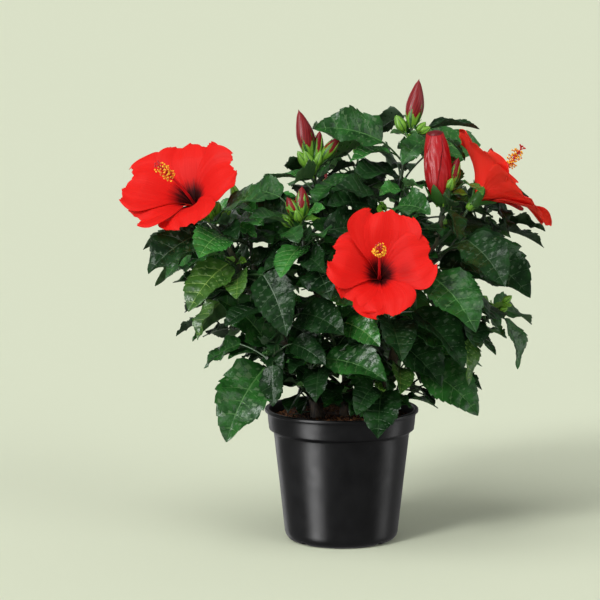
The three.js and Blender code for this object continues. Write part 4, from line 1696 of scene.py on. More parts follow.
    def sprout(
        self,
        owner: str,
        wood: Branch,
        count: int,
        tint: Tint,
        rule: FineTwigRule,
        random: Seeded,
    ) -> None:
        """Grows finer twigs from a limb or a shoot.

        Args:
            owner: The mass that they belong to.
            wood: What they leave.
            count: How many are tried.
            tint: The green that theirs lies beside.
            rule: Their sizes.
            random: Numbers that make each unlike the others.
        """
        first = 360 * random()
        for i in range(count):
            share = mix(*rule.span, (i + 0.5) / count)
            heading = first + NODE_TURN * i + (random() - 0.5) * HEADING_SPREAD
            pitch = random.between(*rule.rise)
            start = wood.at(share)
            reach = random.between(*rule.reach)
            tip = start + direction(heading + (random() - 0.5) * rule.sway, pitch) * reach
            spray = Spray(Branch(start, direction(heading, pitch + rule.bend), tip, rule.radii))
            green = TINT_BESIDE[tint][int(3 * random())]
            for k in range(rule.leaves):
                turn = heading + NODE_TURN * k + (random() - 0.5) * rule.leaf_spread
                length = random.between(*rule.leaf)
                rise = random.between(*rule.pitch)
                pose = [turn, rise, length, length * random.between(*rule.stalk)]
                at = mix(*rule.leaf_span, (k + 0.5) / rule.leaves)
                self.place(owner, spray, at, pose, green, bounded=True, room_radius=rule.room)
            if spray.leaves:
                self.masses[owner].append(spray)


# What the tint of a leaf by the rule, or of a fine twig, may be beside the tint of its shoot.
TINT_BESIDE = {
    DARK: (DARK, DARK, MID),
    MID: (DARK, MID, BRIGHT),
    BRIGHT: (MID, BRIGHT, DARK),
    OLIVE: (DARK, OLIVE, MID),
    YOUNG: (YOUNG, YOUNG, BRIGHT),
}


# Building


@dataclass
class Pot:
    """The nursery pot, turned from its profile, with shallow notches in its foot."""

    sides: int = 256
    notch_radius: float = 5.0
    notches: int = 4
    profile: Rows = (
        (0.5, 0.0), (30.0, 0.0), (52.5, 0.0), (54.0, 0.15), (56.5, 0.9), (59.5, 2.5), (61.6, 5.2),
        (62.8, 9.0), (63.8, 18.0), (66.2, 40.0), (69.0, 66.0), (72.0, 92.0), (75.0, 119.4),
        (75.3, 120.6), (76.2, 121.6), (79.2, 123.6), (80.1, 124.3), (80.4, 125.4), (81.3, 134.0),
        (82.0, 142.2), (82.4, 143.0), (84.4, 143.4), (84.9, 143.9), (85.0, 145.2), (84.8, 146.4),
        (84.0, 147.0), (81.2, 147.0), (80.4, 146.6), (80.1, 145.6), (79.0, 134.0), (78.3, 125.2),
        (77.4, 123.9), (73.6, 121.4), (73.2, 120.6), (70.0, 92.0), (61.0, 14.0), (50.0, 3.0),
        (0.5, 3.0),
    )

    def rings(self) -> Array:
        """The rings of the pot's skin, from the middle of the underside over the lip to inside.

        Returns:
            An array of rings by points by 3.
        """
        angles = evenly_round(self.sides)
        radius, height = np.array(self.profile).T
        finer = np.linspace(0, len(radius) - 1, 3 * (len(radius) - 1) + 1)
        radius = np.interp(finer, np.arange(len(radius)), radius)[:, None]
        height = np.interp(finer, np.arange(len(height)), height)[:, None]
        step = TURN / self.notches
        off = angles % step - step / 2
        aside = radius * np.sin(off)[None]
        arch = np.sqrt(np.maximum(0, self.notch_radius**2 - aside**2))
        foot = (radius > 50) & (height < 9)
        lifted = np.where(foot, np.maximum(height, arch), height)
        points = (radius * np.cos(angles), radius * np.sin(angles), lifted)
        return np.stack(np.broadcast_arrays(*points), axis=-1)

    def build(self) -> Thing:
        """Makes the pot.

        Returns:
            Its object.
        """
        skin = Skin("pot_shell", [POLYPROPYLENE])
        skin.tube(self.rings())
        piece = skin.write(smooth_below=50)
        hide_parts("pot")
        return piece


@dataclass
class Compost:
    """The compost: a filling with an uneven top, loose crumbs and strands of coir."""

    top: float = 136.0
    radius: float = 78.2
    sides: int = 144
    bed: Rows = ((0.5, 3.4), (49.6, 3.4), (60.2, 14.4), (72.6, 121.6), (77.6, 125.0))
    top_rings: int = 46
    crumbs: int = 700
    crumb_radii: Row = (0.5, 1.7)
    lump_radii: Row = (1.7, 3.0)
    lump_share: float = 0.15
    strands: int = 170
    strand_lengths: Row = (5.0, 16.0)
    strand_radii: Row = (0.18, 0.4)

    def surface(self, x: float, y: float) -> float:
        """The height of the top at a place.

        Args:
            x, y: The place.

        Returns:
            Its height.
        """
        broad = noise.noise(Vector((x / 22, y / 22, 3.1))) * 1.6
        fine = noise.noise(Vector((x / 5, y / 5, 7.7))) * 1.1
        return self.top - 0.4 + broad + fine

    def build(self) -> Thing:
        """Makes the compost.

        Returns:
            Its object.
        """
        skin = Skin("compost_bed", [PEAT, COIR])
        angles = evenly_round(self.sides)
        radii = [r for r, _ in self.bed] + list(np.linspace(self.radius, 0.5, self.top_rings))
        rings = np.zeros((len(radii), self.sides, 3))
        for i, radius in enumerate(radii):
            rings[i, :, 0], rings[i, :, 1] = radius * np.cos(angles), radius * np.sin(angles)
            if i < len(self.bed):
                rings[i, :, 2] = self.bed[i][1]
            else:
                rings[i, :, 2] = [self.surface(x, y) for x, y in rings[i, :, :2]]
        skin.tube(rings, 0)
        self.scatter(skin)
        piece = skin.write(smooth_below=60)
        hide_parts("compost")
        return piece

    def scatter(self, skin: Skin) -> None:
        """Strews crumbs and strands over the top.

        Args:
            skin: The piece they go into.
        """
        random = Seeded(COMPOST_SEED)
        for _ in range(self.crumbs):
            out, turn = (self.radius - 2) * math.sqrt(random()), TURN * random()
            x, y = out * math.cos(turn), out * math.sin(turn)
            small = random() < 1 - self.lump_share
            size = random.between(*(self.crumb_radii if small else self.lump_radii))
            middle = np.array((x, y, self.surface(x, y) + 0.3 * size))
            along = direction(360 * random(), random.between(-40, 40)) * size * 1.3
            skin.grain(middle, along, size, int(random() < 0.2), sides=5)
        for _ in range(self.strands):
            out, turn = (self.radius - 8) * math.sqrt(random()), TURN * random()
            heading, long = 360 * random(), random.between(*self.strand_lengths)
            bend = random.between(-60, 60)
            line = []
            x, y = out * math.cos(turn), out * math.sin(turn)
            for k in range(7):
                raised = math.sin(math.pi * k / 6) * random.between(0.3, 1.6)
                line.append((x, y, self.surface(x, y) + 0.35 + raised))
                ahead = direction(heading + bend * k / 6, 0.0) * long / 6
                x, y = x + ahead[0], y + ahead[1]
            inside = max(math.hypot(px, py) for px, py, _ in line) < self.radius - 1
            if inside:
                skin.bar(np.array(line), random.between(*self.strand_radii), 4, 1)


@dataclass
class Wood:
    """Stems, boughs, shoots and twigs, with the relief of their bark."""

    growth: Growth
    ring_step: float = 2.0
    furrow: float = 0.07
    collar: float = 0.45
    stem_sides: int = 28
    bough_sides: int = 18
    twig_sides: int = 9
    stalk_sides: int = 6
    bud_stalk_sides: int = 7

    def limb(self, name: str, branch: Branch, sides: int, finish: Finish, slot: str) -> None:
        """Makes one stem or bough and stands it for its node.

        Args:
            name: The node's name.
            branch: Its middle line and radii.
            sides: How many points go round it.
            finish: Its bark.
            slot: A name for its finish; not used.
        """
        count = math.ceil(branch.length() / self.ring_step) + 1
        shares = np.linspace(0, 1, count)
        path = branch.at(shares)
        radii = branch.radius_at(shares)[:, None] * np.ones(sides)
        if name in STEMS:
            path = path.copy()
            path[:, 2] = np.maximum(path[:, 2], STEM_FOOT)
        else:
            along = shares * branch.length()
            radii = radii * (1 + self.collar * np.exp(-along / 4))[:, None]
        rings = rings_about(path, radii, sides)
        for i in range(count):
            for j in range(sides):
                x, y, z = rings[i, j]
                grain = noise.noise(Vector((x / 1.9, y / 1.9, z / 9)))
                knots = noise.noise(Vector((x / 6, y / 6, z / 6 + 40)))
                depth = self.furrow * (0.7 * grain + 0.6 * knots)
                rings[i, j] += (rings[i, j] - path[i]) * depth
        skin = Skin(f"bark_{name}", [finish])
        skin.tube(rings)
        piece = skin.write(smooth_below=70)
        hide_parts(name)

    def build(self) -> None:
        """Makes stems and boughs, then all finer wood as one piece."""
        for name, branch in self.growth.limbs.items():
            if name in STEMS:
                self.limb(name, branch, self.stem_sides, STEM_BARK, "stem_bark")
            else:
                self.limb(name, branch, self.bough_sides, BOUGH_BARK, "bough_bark")
        skin = Skin("twigs", [TWIG_SKIN, PETIOLE_SKIN])
        for sprays in self.growth.masses.values():
            for spray in sprays:
                self.twig(skin, spray)
        piece = skin.write()
        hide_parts(*MASSES)

    def twig(self, skin: Skin, spray: Spray) -> None:
        """Adds a shoot or a twig, swollen at its nodes, with its leaf stalks and bud stalks.

        Args:
            skin: The piece it goes into.
            spray: The shoot or twig, with all that it bears.
        """
        wood = spray.wood
        count = max(6, math.ceil(wood.length() / 3))
        shares = np.linspace(0, 1, count)
        path = wood.at(shares)
        swell = np.zeros(count)
        for leaf in spray.leaves:
            away = np.linalg.norm(path - leaf.node, axis=1)
            swell = np.maximum(swell, 0.4 * np.exp(-((away / 2.2) ** 2)))
        skin.bar(path, wood.radius_at(shares) * (1 + swell), self.twig_sides, 0)
        for leaf in spray.leaves:
            thick = 0.75 + 0.35 * min(1.0, leaf.length / 80)
            s = np.linspace(0, 1, 8)[:, None]
            line = leaf.node + (leaf.base - leaf.node) * s
            line = line + UP * (np.sin(math.pi * s) * 0.03 * leaf.length)
            skin.bar(line, thick * (1 + 0.5 * np.exp(-8 * s[:, 0])), self.stalk_sides, 1)
        for bud in spray.buds:
            shares = np.linspace(0, 1, 6)
            line = bud.at(shares * (bud.stalk + 1))
            skin.bar(line, 1.15 + 0.5 * shares**3, self.bud_stalk_sides, 1)


@dataclass(frozen=True)
class BladeForm:
    """How one blade differs: where its waves start, its fold, twist, wave height and count."""

    phase: float
    fold: float
    twist: float
    wave: float
    waves: float


@dataclass
class UpperSkin:
    """The upper skin of one blade as it is meshed, on which its veins lie."""

    leaf: Leaf
    twist: float
    places: Array
    row: Array
    points: Array

    def at(self, share: Array, across: Array) -> Array:
        """Points of the skin.

        Args:
            share: Shares of the midrib.
            across: Places across, from -1 to 1.

        Returns:
            The points.
        """
        read = [
            [np.interp(share, self.places[:, j], self.points[:, j, k]) for k in range(3)]
            for j in range(len(self.row))
        ]
        table = np.array(read).transpose(0, 2, 1)
        spot = np.interp(-across, -self.row, np.arange(len(self.row)))
        low = np.minimum(spot.astype(int), len(self.row) - 2)
        part = (spot - low)[:, None]
        each = np.arange(len(share))
        return table[low, each] * (1 - part) + table[low + 1, each] * part

    def vein(self, share: Array, across: Array, widths: Row, rise: float, deep: float) -> Array:
        """The rings of a raised vein.

        Args:
            share: Shares of the midrib along the vein.
            across: Places across the blade along the vein.
            widths: Half its width at its start and at its end.
            rise: How far it stands up, beside a share of its width.
            deep: How far it goes into the blade, beside a share of its width.

        Returns:
            An array of rings by 4 corners by 3.
        """
        path = self.at(share, across)
        face, _ = self.leaf.facing(share, self.twist)
        ahead = unit(np.gradient(path, axis=0))
        face = unit(face - np.sum(face * ahead, axis=1, keepdims=True) * ahead)
        side = np.cross(face, ahead)
        width = np.linspace(*widths, len(share))[:, None]
        high, low = 0.35 * width + rise, deep + 0.5 * width
        corners = (path + side * width, path + face * high, path - side * width, path - face * low)
        return np.stack(corners, axis=1)


@dataclass
class Blades:
    """The leaves: toothed, wavy blades, puckered between raised veins.

    Counts are those of a usual leaf and of a small one. "across" rows are the places of a half
    blade's columns; widths of veins are half those at their start, for a leaf of the usual length,
    and at their end.
    """

    growth: Growth
    thickness: float = 0.5
    notch: float = 0.1
    pucker: float = 0.018
    vein_rise: float = 0.002
    veins: int = 6
    vein_sweep: float = 0.3
    piece_limit: int = 125_000
    small_below: float = 46.0
    across: Row = (1.0, 0.9, 0.68, 0.4, 0.15, 0.03)
    small_across: Row = (1.0, 0.82, 0.4, 0.05)
    teeth: Counts = (7, 5)
    midrib_points: Counts = (12, 7)
    vein_points: Counts = (7, 4)
    folds: Row = (0.7, 1.8)
    twist: float = 20.0
    waves: Row = (1.2, 2.6)
    wave_heights: Row = (0.03, 0.085)
    midrib_widths: Row = (0.95, 0.22)
    vein_widths: Row = (0.45, 0.13)
    usual_length: float = 75.0

    def shares(self, teeth: int) -> tuple[Array, Array, Array]:
        """Where the rings of a blade lie.

        Args:
            teeth: How many teeth each margin has.

        Returns:
            Shares of the midrib, how deep the margin is cut there, and how far it leans ahead.
        """
        rows = [(0.0015, 0, 0), (0.012, 0, 0), (0.04, 0, 0), (0.1, 0, 0), (0.17, 0, 0)]
        first, last = 0.24, 0.955
        step = (last - first) / teeth
        for k in range(teeth):
            start = first + k * step
            rows += [
                (start, 1.0, 0.0),
                (start + 0.45 * step, 0.45, 0.0),
                (start + 0.86 * step, 0.0, 0.014),
            ]
        rows += [(0.965, 0.3, 0.0), (0.997, 0.0, 0.0)]
        share, depth, lean = np.array(rows, float).T
        return share[:, None], depth[:, None], lean[:, None]

    def lift(self, leaf: Leaf, share: Array, across: Array, form: BladeForm) -> Array:
        """How far the blade is puckered and waved off its even form.

        Args:
            leaf: The leaf.
            share: Shares of its midrib.
            across: Places across it.
            form: How this one blade differs from its neighbours.

        Returns:
            Lifts in millimetres.
        """
        out = np.abs(across)
        sweep = self.vein_sweep * out**1.2
        number = (share - sweep) / (1 - sweep) * self.veins
        ends = np.clip(share * 8, 0, 1) * np.clip((1 - share) * 5, 0, 1)
        between = -np.cos(TURN * number) * (1 - out**3) * np.clip(out * 5, 0, 1)
        rib = -0.008 * np.exp(-((out / 0.13) ** 2))
        sway = np.sin(TURN * (form.waves * share + 0.12 * np.sign(across)) + form.phase)
        return leaf.length * ends * (self.pucker * between + rib + form.wave * sway * out**2.5)

    def add(self, skin: Skin, leaf: Leaf, tones: int, random: Seeded) -> None:
        """Adds one leaf.

        Args:
            skin: The piece it goes into.
            leaf: The leaf.
            tones: Number of its cuticle's finish; its underside and its veins come next.
            random: Numbers that make it unlike its neighbours.
        """
        form = BladeForm(
            TURN * random(),
            LEAF.fold * random.between(*self.folds),
            math.radians(random.between(-self.twist, self.twist)),
            random.between(*self.wave_heights),
            random.between(*self.waves),
        )
        small = int(leaf.length < self.small_below)
        share, depth, lean = self.shares(self.teeth[small])
        half_row = np.array(self.small_across if small else self.across)
        row = np.concatenate((half_row, -half_row[::-1]))
        loop = there_and_back(row)[None]
        margin = np.abs(loop) ** 9
        places = np.minimum(0.9995, share + lean * margin)
        across = loop * (1 - self.notch * depth * margin)
        side = np.repeat((0.5, -0.5), len(row))[None] * self.thickness
        lift = self.lift(leaf, places, across, form) + side
        rings = leaf.point(places, across, lift, form.fold, form.twist)
        columns = np.repeat((tones, tones + 1), len(row))
        columns[-1] = tones
        skin.tube(rings, columns)
        over = slice(len(row))
        upper = UpperSkin(leaf, form.twist, places[:, over], row, rings[:, over])
        for vein in self.ribs(leaf, upper):
            skin.tube(vein, tones + 2)

    def ribs(self, leaf: Leaf, upper: UpperSkin) -> list[Array]:
        """The rings of the midrib and of the side veins of a leaf.

        Args:
            leaf: The leaf.
            upper: Its upper skin.

        Returns:
            The rings of one vein after the other.
        """
        small = int(leaf.length < self.small_below)
        size, form = leaf.length / self.usual_length, (self.vein_rise * leaf.length, self.thickness)
        (wide, fine), (side_wide, side_fine) = self.midrib_widths, self.vein_widths
        midrib = np.linspace(0.0, 0.96, self.midrib_points[small])
        veins = [upper.vein(midrib, 0 * midrib, (wide * size, fine), *form)]
        out = np.linspace(0.03, 0.9, self.vein_points[small])
        sweep = self.vein_sweep * out**1.2
        for number in range(1, self.veins, 1 + small):
            at = number / self.veins * (1 - sweep) + sweep
            for way in (-1, 1):
                veins.append(upper.vein(at, way * out, (side_wide * size, side_fine), *form))
        return veins

    def build(self) -> None:
        """Makes the leaves of all masses, in pieces that stay small enough."""
        finishes = leaf_finishes()
        tones = {tint: 3 * i for i, tint in enumerate(finishes)}
        flat = [finish for three in finishes.values() for finish in three]
        random = Seeded(BLADE_SEED)
        number, skin, names = 1, Skin("leaves_1", flat), []
        for name, sprays in self.growth.masses.items():
            if skin.triangles() > self.piece_limit:
                self.finish(skin, names)
                number, names = number + 1, []
                skin = Skin(f"leaves_{number}", flat)
            names.append(name)
            for spray in sprays:
                for leaf in spray.leaves:
                    self.add(skin, leaf, tones[leaf.tint], random)
        self.finish(skin, names)

    def finish(self, skin: Skin, names: list[str]) -> None:
        """Writes a piece of leaves and stands it for the masses they grow in.

        Args:
            skin: The piece.
            names: The masses.
        """
        piece = skin.write()
        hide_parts(*names)


class BudStage(Enum):
    """How far a bud has come."""

    GREEN = "green"
    COLOURED = "coloured"
    FURLED = "furled"


@dataclass
class Buds:
    """The buds: ribbed petals that come out of five calyx lobes over slender bracts."""

    growth: Growth
    coloured_from: float = 25.0
    long_petals_from: float = 50.0
    furled_from: float = 70.0
    coloured_swell: float = 1.18
    furled_waist: float = 0.6
    mouth_slant: float = 0.32
    lesser_width: float = 0.56
    sides: int = 60
    green_sides: int = 30
    furled_rings: int = 64
    furled_sides: int = 120
    bracts: int = 7

    def stage(self, bud: Bud) -> BudStage:
        """How far a bud of this length has come.

        Args:
            bud: The bud.

        Returns:
            Its stage.
        """
        if bud.length >= self.furled_from:
            return BudStage.FURLED
        return BudStage.COLOURED if bud.length >= self.coloured_from else BudStage.GREEN

    def build(self) -> None:
        """Makes all buds as one piece."""
        finishes = (CALYX_GREEN, CALYX_SEAM, BUD_PETAL, BUD_RIB_AND_HIGHLIGHT, FURLED_PETAL, FURLED_PAINTED_SHADE)
        skin = Skin("buds", finishes)
        for name, sprays in self.growth.masses.items():
            for bud in sprays[0].buds:
                self.add(skin, bud)
            for share, heading, pitch, stalk, length in LESSER_BUDS.get(name, ()):
                node = sprays[0].wood.at(min(share, LAST_SHARE))
                bud = Bud(node, heading, pitch, stalk, length, self.lesser_width * length)
                skin.bar(bud.at(np.linspace(0, stalk + 1, 5)), 1.0, 6, 0)
                self.add(skin, bud)
        piece = skin.write()

    def add(self, skin: Skin, bud: Bud) -> None:
        """Adds one bud.

        Args:
            skin: The piece it goes into.
            bud: The bud.
        """
        stage = self.stage(bud)
        shares = np.concatenate((np.linspace(0, 0.9, 19), (0.95, 0.985, 1.0)))
        path = bud.at(bud.stalk + shares * bud.length)
        point = np.clip((1 - shares) * 9, 0.06, 1)
        radii = bud.radius_at(shares) * point
        sides = self.green_sides if stage is BudStage.GREEN else self.sides
        angles = evenly_round(sides)
        if stage is BudStage.GREEN:
            ribs = 1 + 0.09 * np.cos(5 * angles)[None] * np.ones((len(shares), 1))
            tone = np.where(np.cos(5 * angles) < -0.55, 1, 0)
            skin.tube(rings_about(path, radii[:, None] * ribs, sides), tone)
        elif stage is BudStage.COLOURED:
            twist = 1.3 * shares
            swell = 1 + (self.coloured_swell - 1) * np.sin(math.pi * shares)
            ribs = 0.95 + 0.05 * np.abs(np.cos(10 * angles))[None] * np.ones((len(shares), 1))
            # The crests of the ribs take a lighter red: partly the ribs' own colour, partly a
            # painted highlight.
            tone = np.where(np.cos(20 * angles) > 0.4, 3, 2)
            skin.tube(rings_about(path, (radii * swell)[:, None] * ribs, sides, twist), tone)
            self.lobes(skin, bud, 0.5 if bud.length >= self.long_petals_from else 0.84, 0.5)
        else:
            self.furled(skin, bud)
            self.lobes(skin, bud, 0.34, 1.2)
        self.collar(skin, bud)

    def furled(self, skin: Skin, bud: Bud) -> None:
        """Adds petals rolled round each other, creased along their veins, with painted shade along
        the edges where they overlap and a mouth lined with painted shade.

        Args:
            skin: The piece it goes into.
            bud: The bud.
        """
        shares, angles = np.linspace(0, 1, self.furled_rings), evenly_round(self.furled_sides)
        path = bud.at(bud.stalk + shares * bud.length * 0.985)
        fuller = 0.2 + 0.8 * np.sin(math.pi / 2 * np.minimum(1, shares * 2) ** 0.75)
        closing = 1 - (1 - self.furled_waist) * np.maximum(0, 2 * shares - 1) ** 2.6
        wide = bud.width / 2 * fuller * closing
        roll = (angles / TURN * 5) % 1
        slope = 15 * angles[None] + 34 * shares[:, None]
        veins = 0.02 * np.cos(slope + 1.4 * np.sin(5 * angles[None] - 9 * shares[:, None]))
        ribs = 0.91 + 0.1 * roll[None] * np.clip(shares * 3, 0, 1)[:, None] + veins
        twist = 1.4 * shares
        rings = rings_about(path, wide[:, None] * ribs, len(angles), twist)
        front = np.array((0.0, -1.0, 0.0))
        slant = (rings - path[:, None]) @ front * np.clip(shares * 5 - 4, 0, 1)[:, None]
        # Painted shade: the narrow band along each overlapping petal edge takes the darker red.
        tone = np.where(roll < 0.04, 5, 4)
        skin.tube(rings - bud.along * (self.mouth_slant * slant)[..., None], tone)
        # The mouth is lined with the darker red: painted shade in the opening.
        mouth = rings_about(path[-9:][::-1], wide[-9:][::-1] * 0.76, len(angles), twist[-9:][::-1])
        skin.tube(mouth + bud.along * 0.6, 5)

    def lobes(self, skin: Skin, bud: Bud, top: float, spread: float) -> None:
        """Adds five pointed calyx lobes that hug the bud.

        Args:
            skin: The piece they go into.
            bud: The bud.
            top: How far up the bud their points reach, as a share of its length.
            spread: How far their points stand off, in millimetres.
        """
        for k in range(5):
            hug(
                skin,
                lambda s: bud.at(bud.stalk + s * bud.length),
                lambda s: bud.radius_at(s) + 0.5,
                (0.0, top * (1.0 if k % 2 else 0.9)),
                TURN * k / 5 + 0.2,
                0.62,
                spread,
                (1, 1) if self.stage(bud) is BudStage.FURLED else (0, 1),
            )

    def collar(self, skin: Skin, bud: Bud) -> None:
        """Adds the slender bracts round the foot of the bud.

        Args:
            skin: The piece it goes into.
            bud: The bud.
        """
        long = 0.22 * bud.length + 3
        for k in range(self.bracts):
            out = off_axis(bud.along, TURN * k / self.bracts)
            s = np.linspace(0, 1, 6)[:, None]
            foot = bud.at(bud.stalk) + out * bud.radius_at(np.array(0.02))
            line = foot + bud.along * (s * long * 0.75 - 0.5)
            line = line + out * (0.28 * long * s + 0.18 * long * s**2)
            skin.bar(line, 0.85 * (1 - s[:, 0]) ** 0.7 + 0.12, 5, 1 if k % 2 else 0)


def hug(
    skin: Skin,
    at: Callable[[Array], Array],
    radius_at: Callable[[Array], Array],
    span: Row,
    angle: float,
    half_angle: float,
    spread: float,
    tones: Counts,
) -> None:
    """Adds one pointed lobe that follows a round body.

    Args:
        skin: The piece it goes into.
        at: Points of the body's axis at shares of it.
        radius_at: The body's radius at those shares.
        span: The shares where the lobe starts and ends.
        angle: Its place round the axis, in radians.
        half_angle: Half the angle it spans at its foot, in radians.
        spread: How far its point stands off the body.
        tones: Numbers of the finishes along its margins and along its middle.
    """
    steps = np.linspace(0, 1, 12)
    shares = mix(*span, steps)
    path = at(shares)
    u, v = sideways(unit(np.gradient(path, axis=0)))
    narrow = half_angle * np.minimum(1, (1.04 - steps) / 0.62) ** 0.9
    row = np.linspace(-1, 1, 7)
    loop = there_and_back(row)
    turns = angle + narrow[:, None] * loop[None]
    thick = np.repeat((0.45, -0.45), len(row))[None] * (1.05 - steps)[:, None]
    keel = 0.5 * (1 - np.abs(loop))[None]
    radius = radius_at(shares)[:, None] + spread * steps[:, None] ** 3 + thick + keel
    rings = path[:, None] + (radius * np.cos(turns))[..., None] * u[:, None]
    rings = rings + (radius * np.sin(turns))[..., None] * v[:, None]
    skin.tube(rings, np.where(np.abs(loop + 0.15) < 0.4, tones[1], tones[0]))


@dataclass
class Blossom:
    """The open blooms: ruffled petals, a calyx with bracts, and a column with its anthers."""

    growth: Growth
    along: int = 40
    across: int = 31
    thickness: float = 0.5
    anthers: int = 68
    anther_turn: float = math.radians(137.5)
    filament: Row = (3.2, 7.2)
    bracts: int = 7
    wrap_limit: float = 0.95
    settled: float = 0.07

    def build(self) -> None:
        """Makes each bloom as petals, column and calyx."""
        for index, (name, solid) in enumerate(self.growth.blooms.items()):
            random = Seeded(BLOOM_SEED_STEP * (index + 1))
            short = name.removeprefix("bloom_")
            opening = OPENINGS[name]
            bloom = opening.applied(solid)
            petals = Skin(f"petals_{short}", [PETAL_FACE, PETAL_BACK], "petal")
            for number, (angle, length) in enumerate(bloom.petals):
                turned, longer, wider = opening.petals[number]
                pose = (angle + turned, length * longer, wider)
                self.petal(petals, bloom, pose, number, random)
            piece = petals.write()
            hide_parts(name)
            column = Skin(f"column_{short}", [COLUMN_TISSUE, ANTHER, ANTHER_SHADE, STIGMA])
            self.column(column, bloom, opening.anthers, random)
            column.write()
            calyx = Skin(f"calyx_{short}", [CALYX_GREEN, CALYX_SEAM, PETIOLE_SKIN])
            self.calyx(calyx, bloom)
            calyx.write()

    def petal(self, skin: Skin, bloom: Bloom, pose: Row, number: int, random: Seeded) -> None:
        """Adds one petal.

        Args:
            skin: The piece it goes into.
            bloom: The bloom it belongs to.
            pose: Its place round the axis in degrees, its length and a scale of its width.
            number: Its number, which shifts its veins on the map.
            random: Numbers that make it unlike its neighbours.
        """
        angle, length, wider = pose
        phases = [TURN * random() for _ in range(6)]
        shares = np.concatenate((np.linspace(0, 0.9, self.along - 7), np.linspace(0.92, 1, 7)))
        row = np.linspace(1, -1, self.across)
        row = np.sign(row) * np.abs(row) ** 0.85
        loop = there_and_back(row)[None]
        share = shares[:, None]
        edge = share**5
        notched = 0.036 * np.sin(5.1 * loop + phases[0]) + 0.013 * np.sin(13 * loop + phases[1])
        notched = notched + 0.008 * np.sin(37 * loop + phases[2])
        place = np.clip(share * (0.93 + edge * notched), 0, 0.995)
        wide = loop * (wider + 0.04 * np.sin(9 * share + phases[2]) * np.abs(loop) ** 3)
        ruffle = np.sin(5.6 * loop + phases[3] + 1.5 * share) + 0.6 * np.sin(
            11 * loop + phases[4] - 3 * share
        )
        ruffle = ruffle * (1 - 0.5 * np.clip((share - 0.85) / 0.15, 0, 1))
        sides = np.abs(loop) ** 4 * np.sin(13 * share + phases[5]) * share
        curl = -0.05 * np.maximum(0, share - 0.75) / 0.25
        lift = length * (0.03 * ruffle * share**3.5 + 0.03 * sides + curl)
        lift = lift + 0.22 * np.sin(30 * loop) * np.sin(math.pi * share)
        thick = self.thickness * (1.3 - 0.6 * share) / 2
        lift = lift + np.repeat((1.0, -1.0), len(row))[None] * thick
        lift = lift - self.settled * wide * petal_half(length, place)
        form = (angle, length, place, wide, lift)
        flat, wrapped = bloom.petal_point(*form), self.wrapped_point(bloom, *form)
        opened = np.clip((place - 0.3) / 0.45, 0, 1)[..., None]
        opened = opened * opened * (3 - 2 * opened)
        rings = wrapped + (flat - wrapped) * opened
        places = np.stack(np.broadcast_arrays(loop + 4.0 * number, place), axis=-1)
        skin.sheet(rings, np.repeat((0, 1), len(row)), places)

    def wrapped_point(
        self, bloom: Bloom, angle: float, length: float, share: Array, across: Array, lift: Array
    ) -> Array:
        """Points of a petal where it lies round the throat, one side over its neighbour.

        Args:
            bloom: The bloom it belongs to.
            angle, length, share, across, lift: As for the bloom's petal_point.

        Returns:
            The points.
        """
        outward, along, tilt = petal_run(share)
        half = petal_half(length, share)
        radius = outward * length + PETAL.heart_radius
        swing = self.wrap_limit * np.tanh(across * half / radius / self.wrap_limit)
        turn = (math.radians(angle) + swing)[..., None]
        out = bloom.right * np.cos(turn) + bloom.high * np.sin(turn)
        inner = np.sin(tilt) * bloom.axis - np.cos(tilt) * out
        rise = (across * (PETAL.overlap * half + 0.9) + lift)[..., None]
        point = bloom.heart + (along * length)[..., None] * bloom.axis
        return point + radius[..., None] * out + rise * inner

    def column(self, skin: Skin, bloom: Bloom, anthers: Row, random: Seeded) -> None:
        """Adds the column, its anthers on short filaments and five style branches.

        Args:
            skin: The piece it goes into.
            bloom: The bloom it belongs to.
            anthers: The shares of the column between which the anthers stand.
            random: Numbers that make each unlike the others.
        """
        shares = np.linspace(0, 1, 26)
        radii = 1.35 + 1.7 * np.exp(-shares * 9) + 0.15 * np.sin(26 * shares)
        radii[-1] = 0.5
        path = bloom.column_at(shares)
        skin.bar(path, radii, 12, 0)
        tangent = unit(path[-1] - path[-3])
        for k in range(self.anthers):
            share = mix(*anthers, (k + 0.5) / self.anthers)
            out = off_axis(tangent, k * self.anther_turn)
            foot = bloom.column_at(share)
            reach = random.between(*self.filament)
            tip = foot + (out + tangent * random.between(0.05, 0.55)) * reach
            middle = (foot + tip) / 2 + tangent * 0.5
            skin.bar(np.array((foot, middle, tip)), 0.26, 4, 0)
            across = np.cross(out, tangent) * 1.25
            skin.grain(tip, across, 1.0, 1 if k % 4 else 2)
        end = path[-1]
        for k in range(5):
            out = off_axis(tangent, TURN * k / 5 + 0.4)
            s = np.linspace(0, 1, 5)[:, None]
            line = end + tangent * (s * 4.6) + out * (3.2 * s**1.5)
            skin.bar(line, 0.45, 5, 0)
            skin.grain(line[-1] + tangent * 0.3, tangent * 0.9, 1.25, 3, sides=8)

    def calyx(self, skin: Skin, bloom: Bloom) -> None:
        """Adds the stalk, the calyx cup with its five lobes, and the bracts.

        Args:
            skin: The piece it goes into.
            bloom: The bloom it is on.
        """
        shares = np.linspace(0, 1, 20)
        skin.bar(bloom.stalk.at(shares), bloom.stalk.radius_at(shares) * 0.85, 9, 2)
        long = CALYX_BACK + CALYX_FRONT

        def at(share: Array) -> Array:
            """Points of the calyx axis."""
            steps = np.asarray(share, float)[..., None]
            return bloom.heart + bloom.axis * (steps * long - CALYX_BACK)

        def radius_at(share: Array) -> Array:
            """The radius of the calyx, which stays outside the petals.

            Args:
                share: Shares of the calyx's length.

            Returns:
                The radii.
            """
            ahead = np.maximum(0, np.asarray(share, float) * long - CALYX_BACK)
            outward, along, _ = petal_run(np.linspace(0, 0.6, 40))
            size = max(length for _, length in bloom.petals)
            petals = np.interp(ahead, along * size, outward * size + PETAL.heart_radius)
            cup = CALYX_RADIUS * (0.3 + 0.62 * np.sqrt(np.maximum(0, share)))
            return np.maximum(cup, petals + 1.2 + 0.17 * ahead)

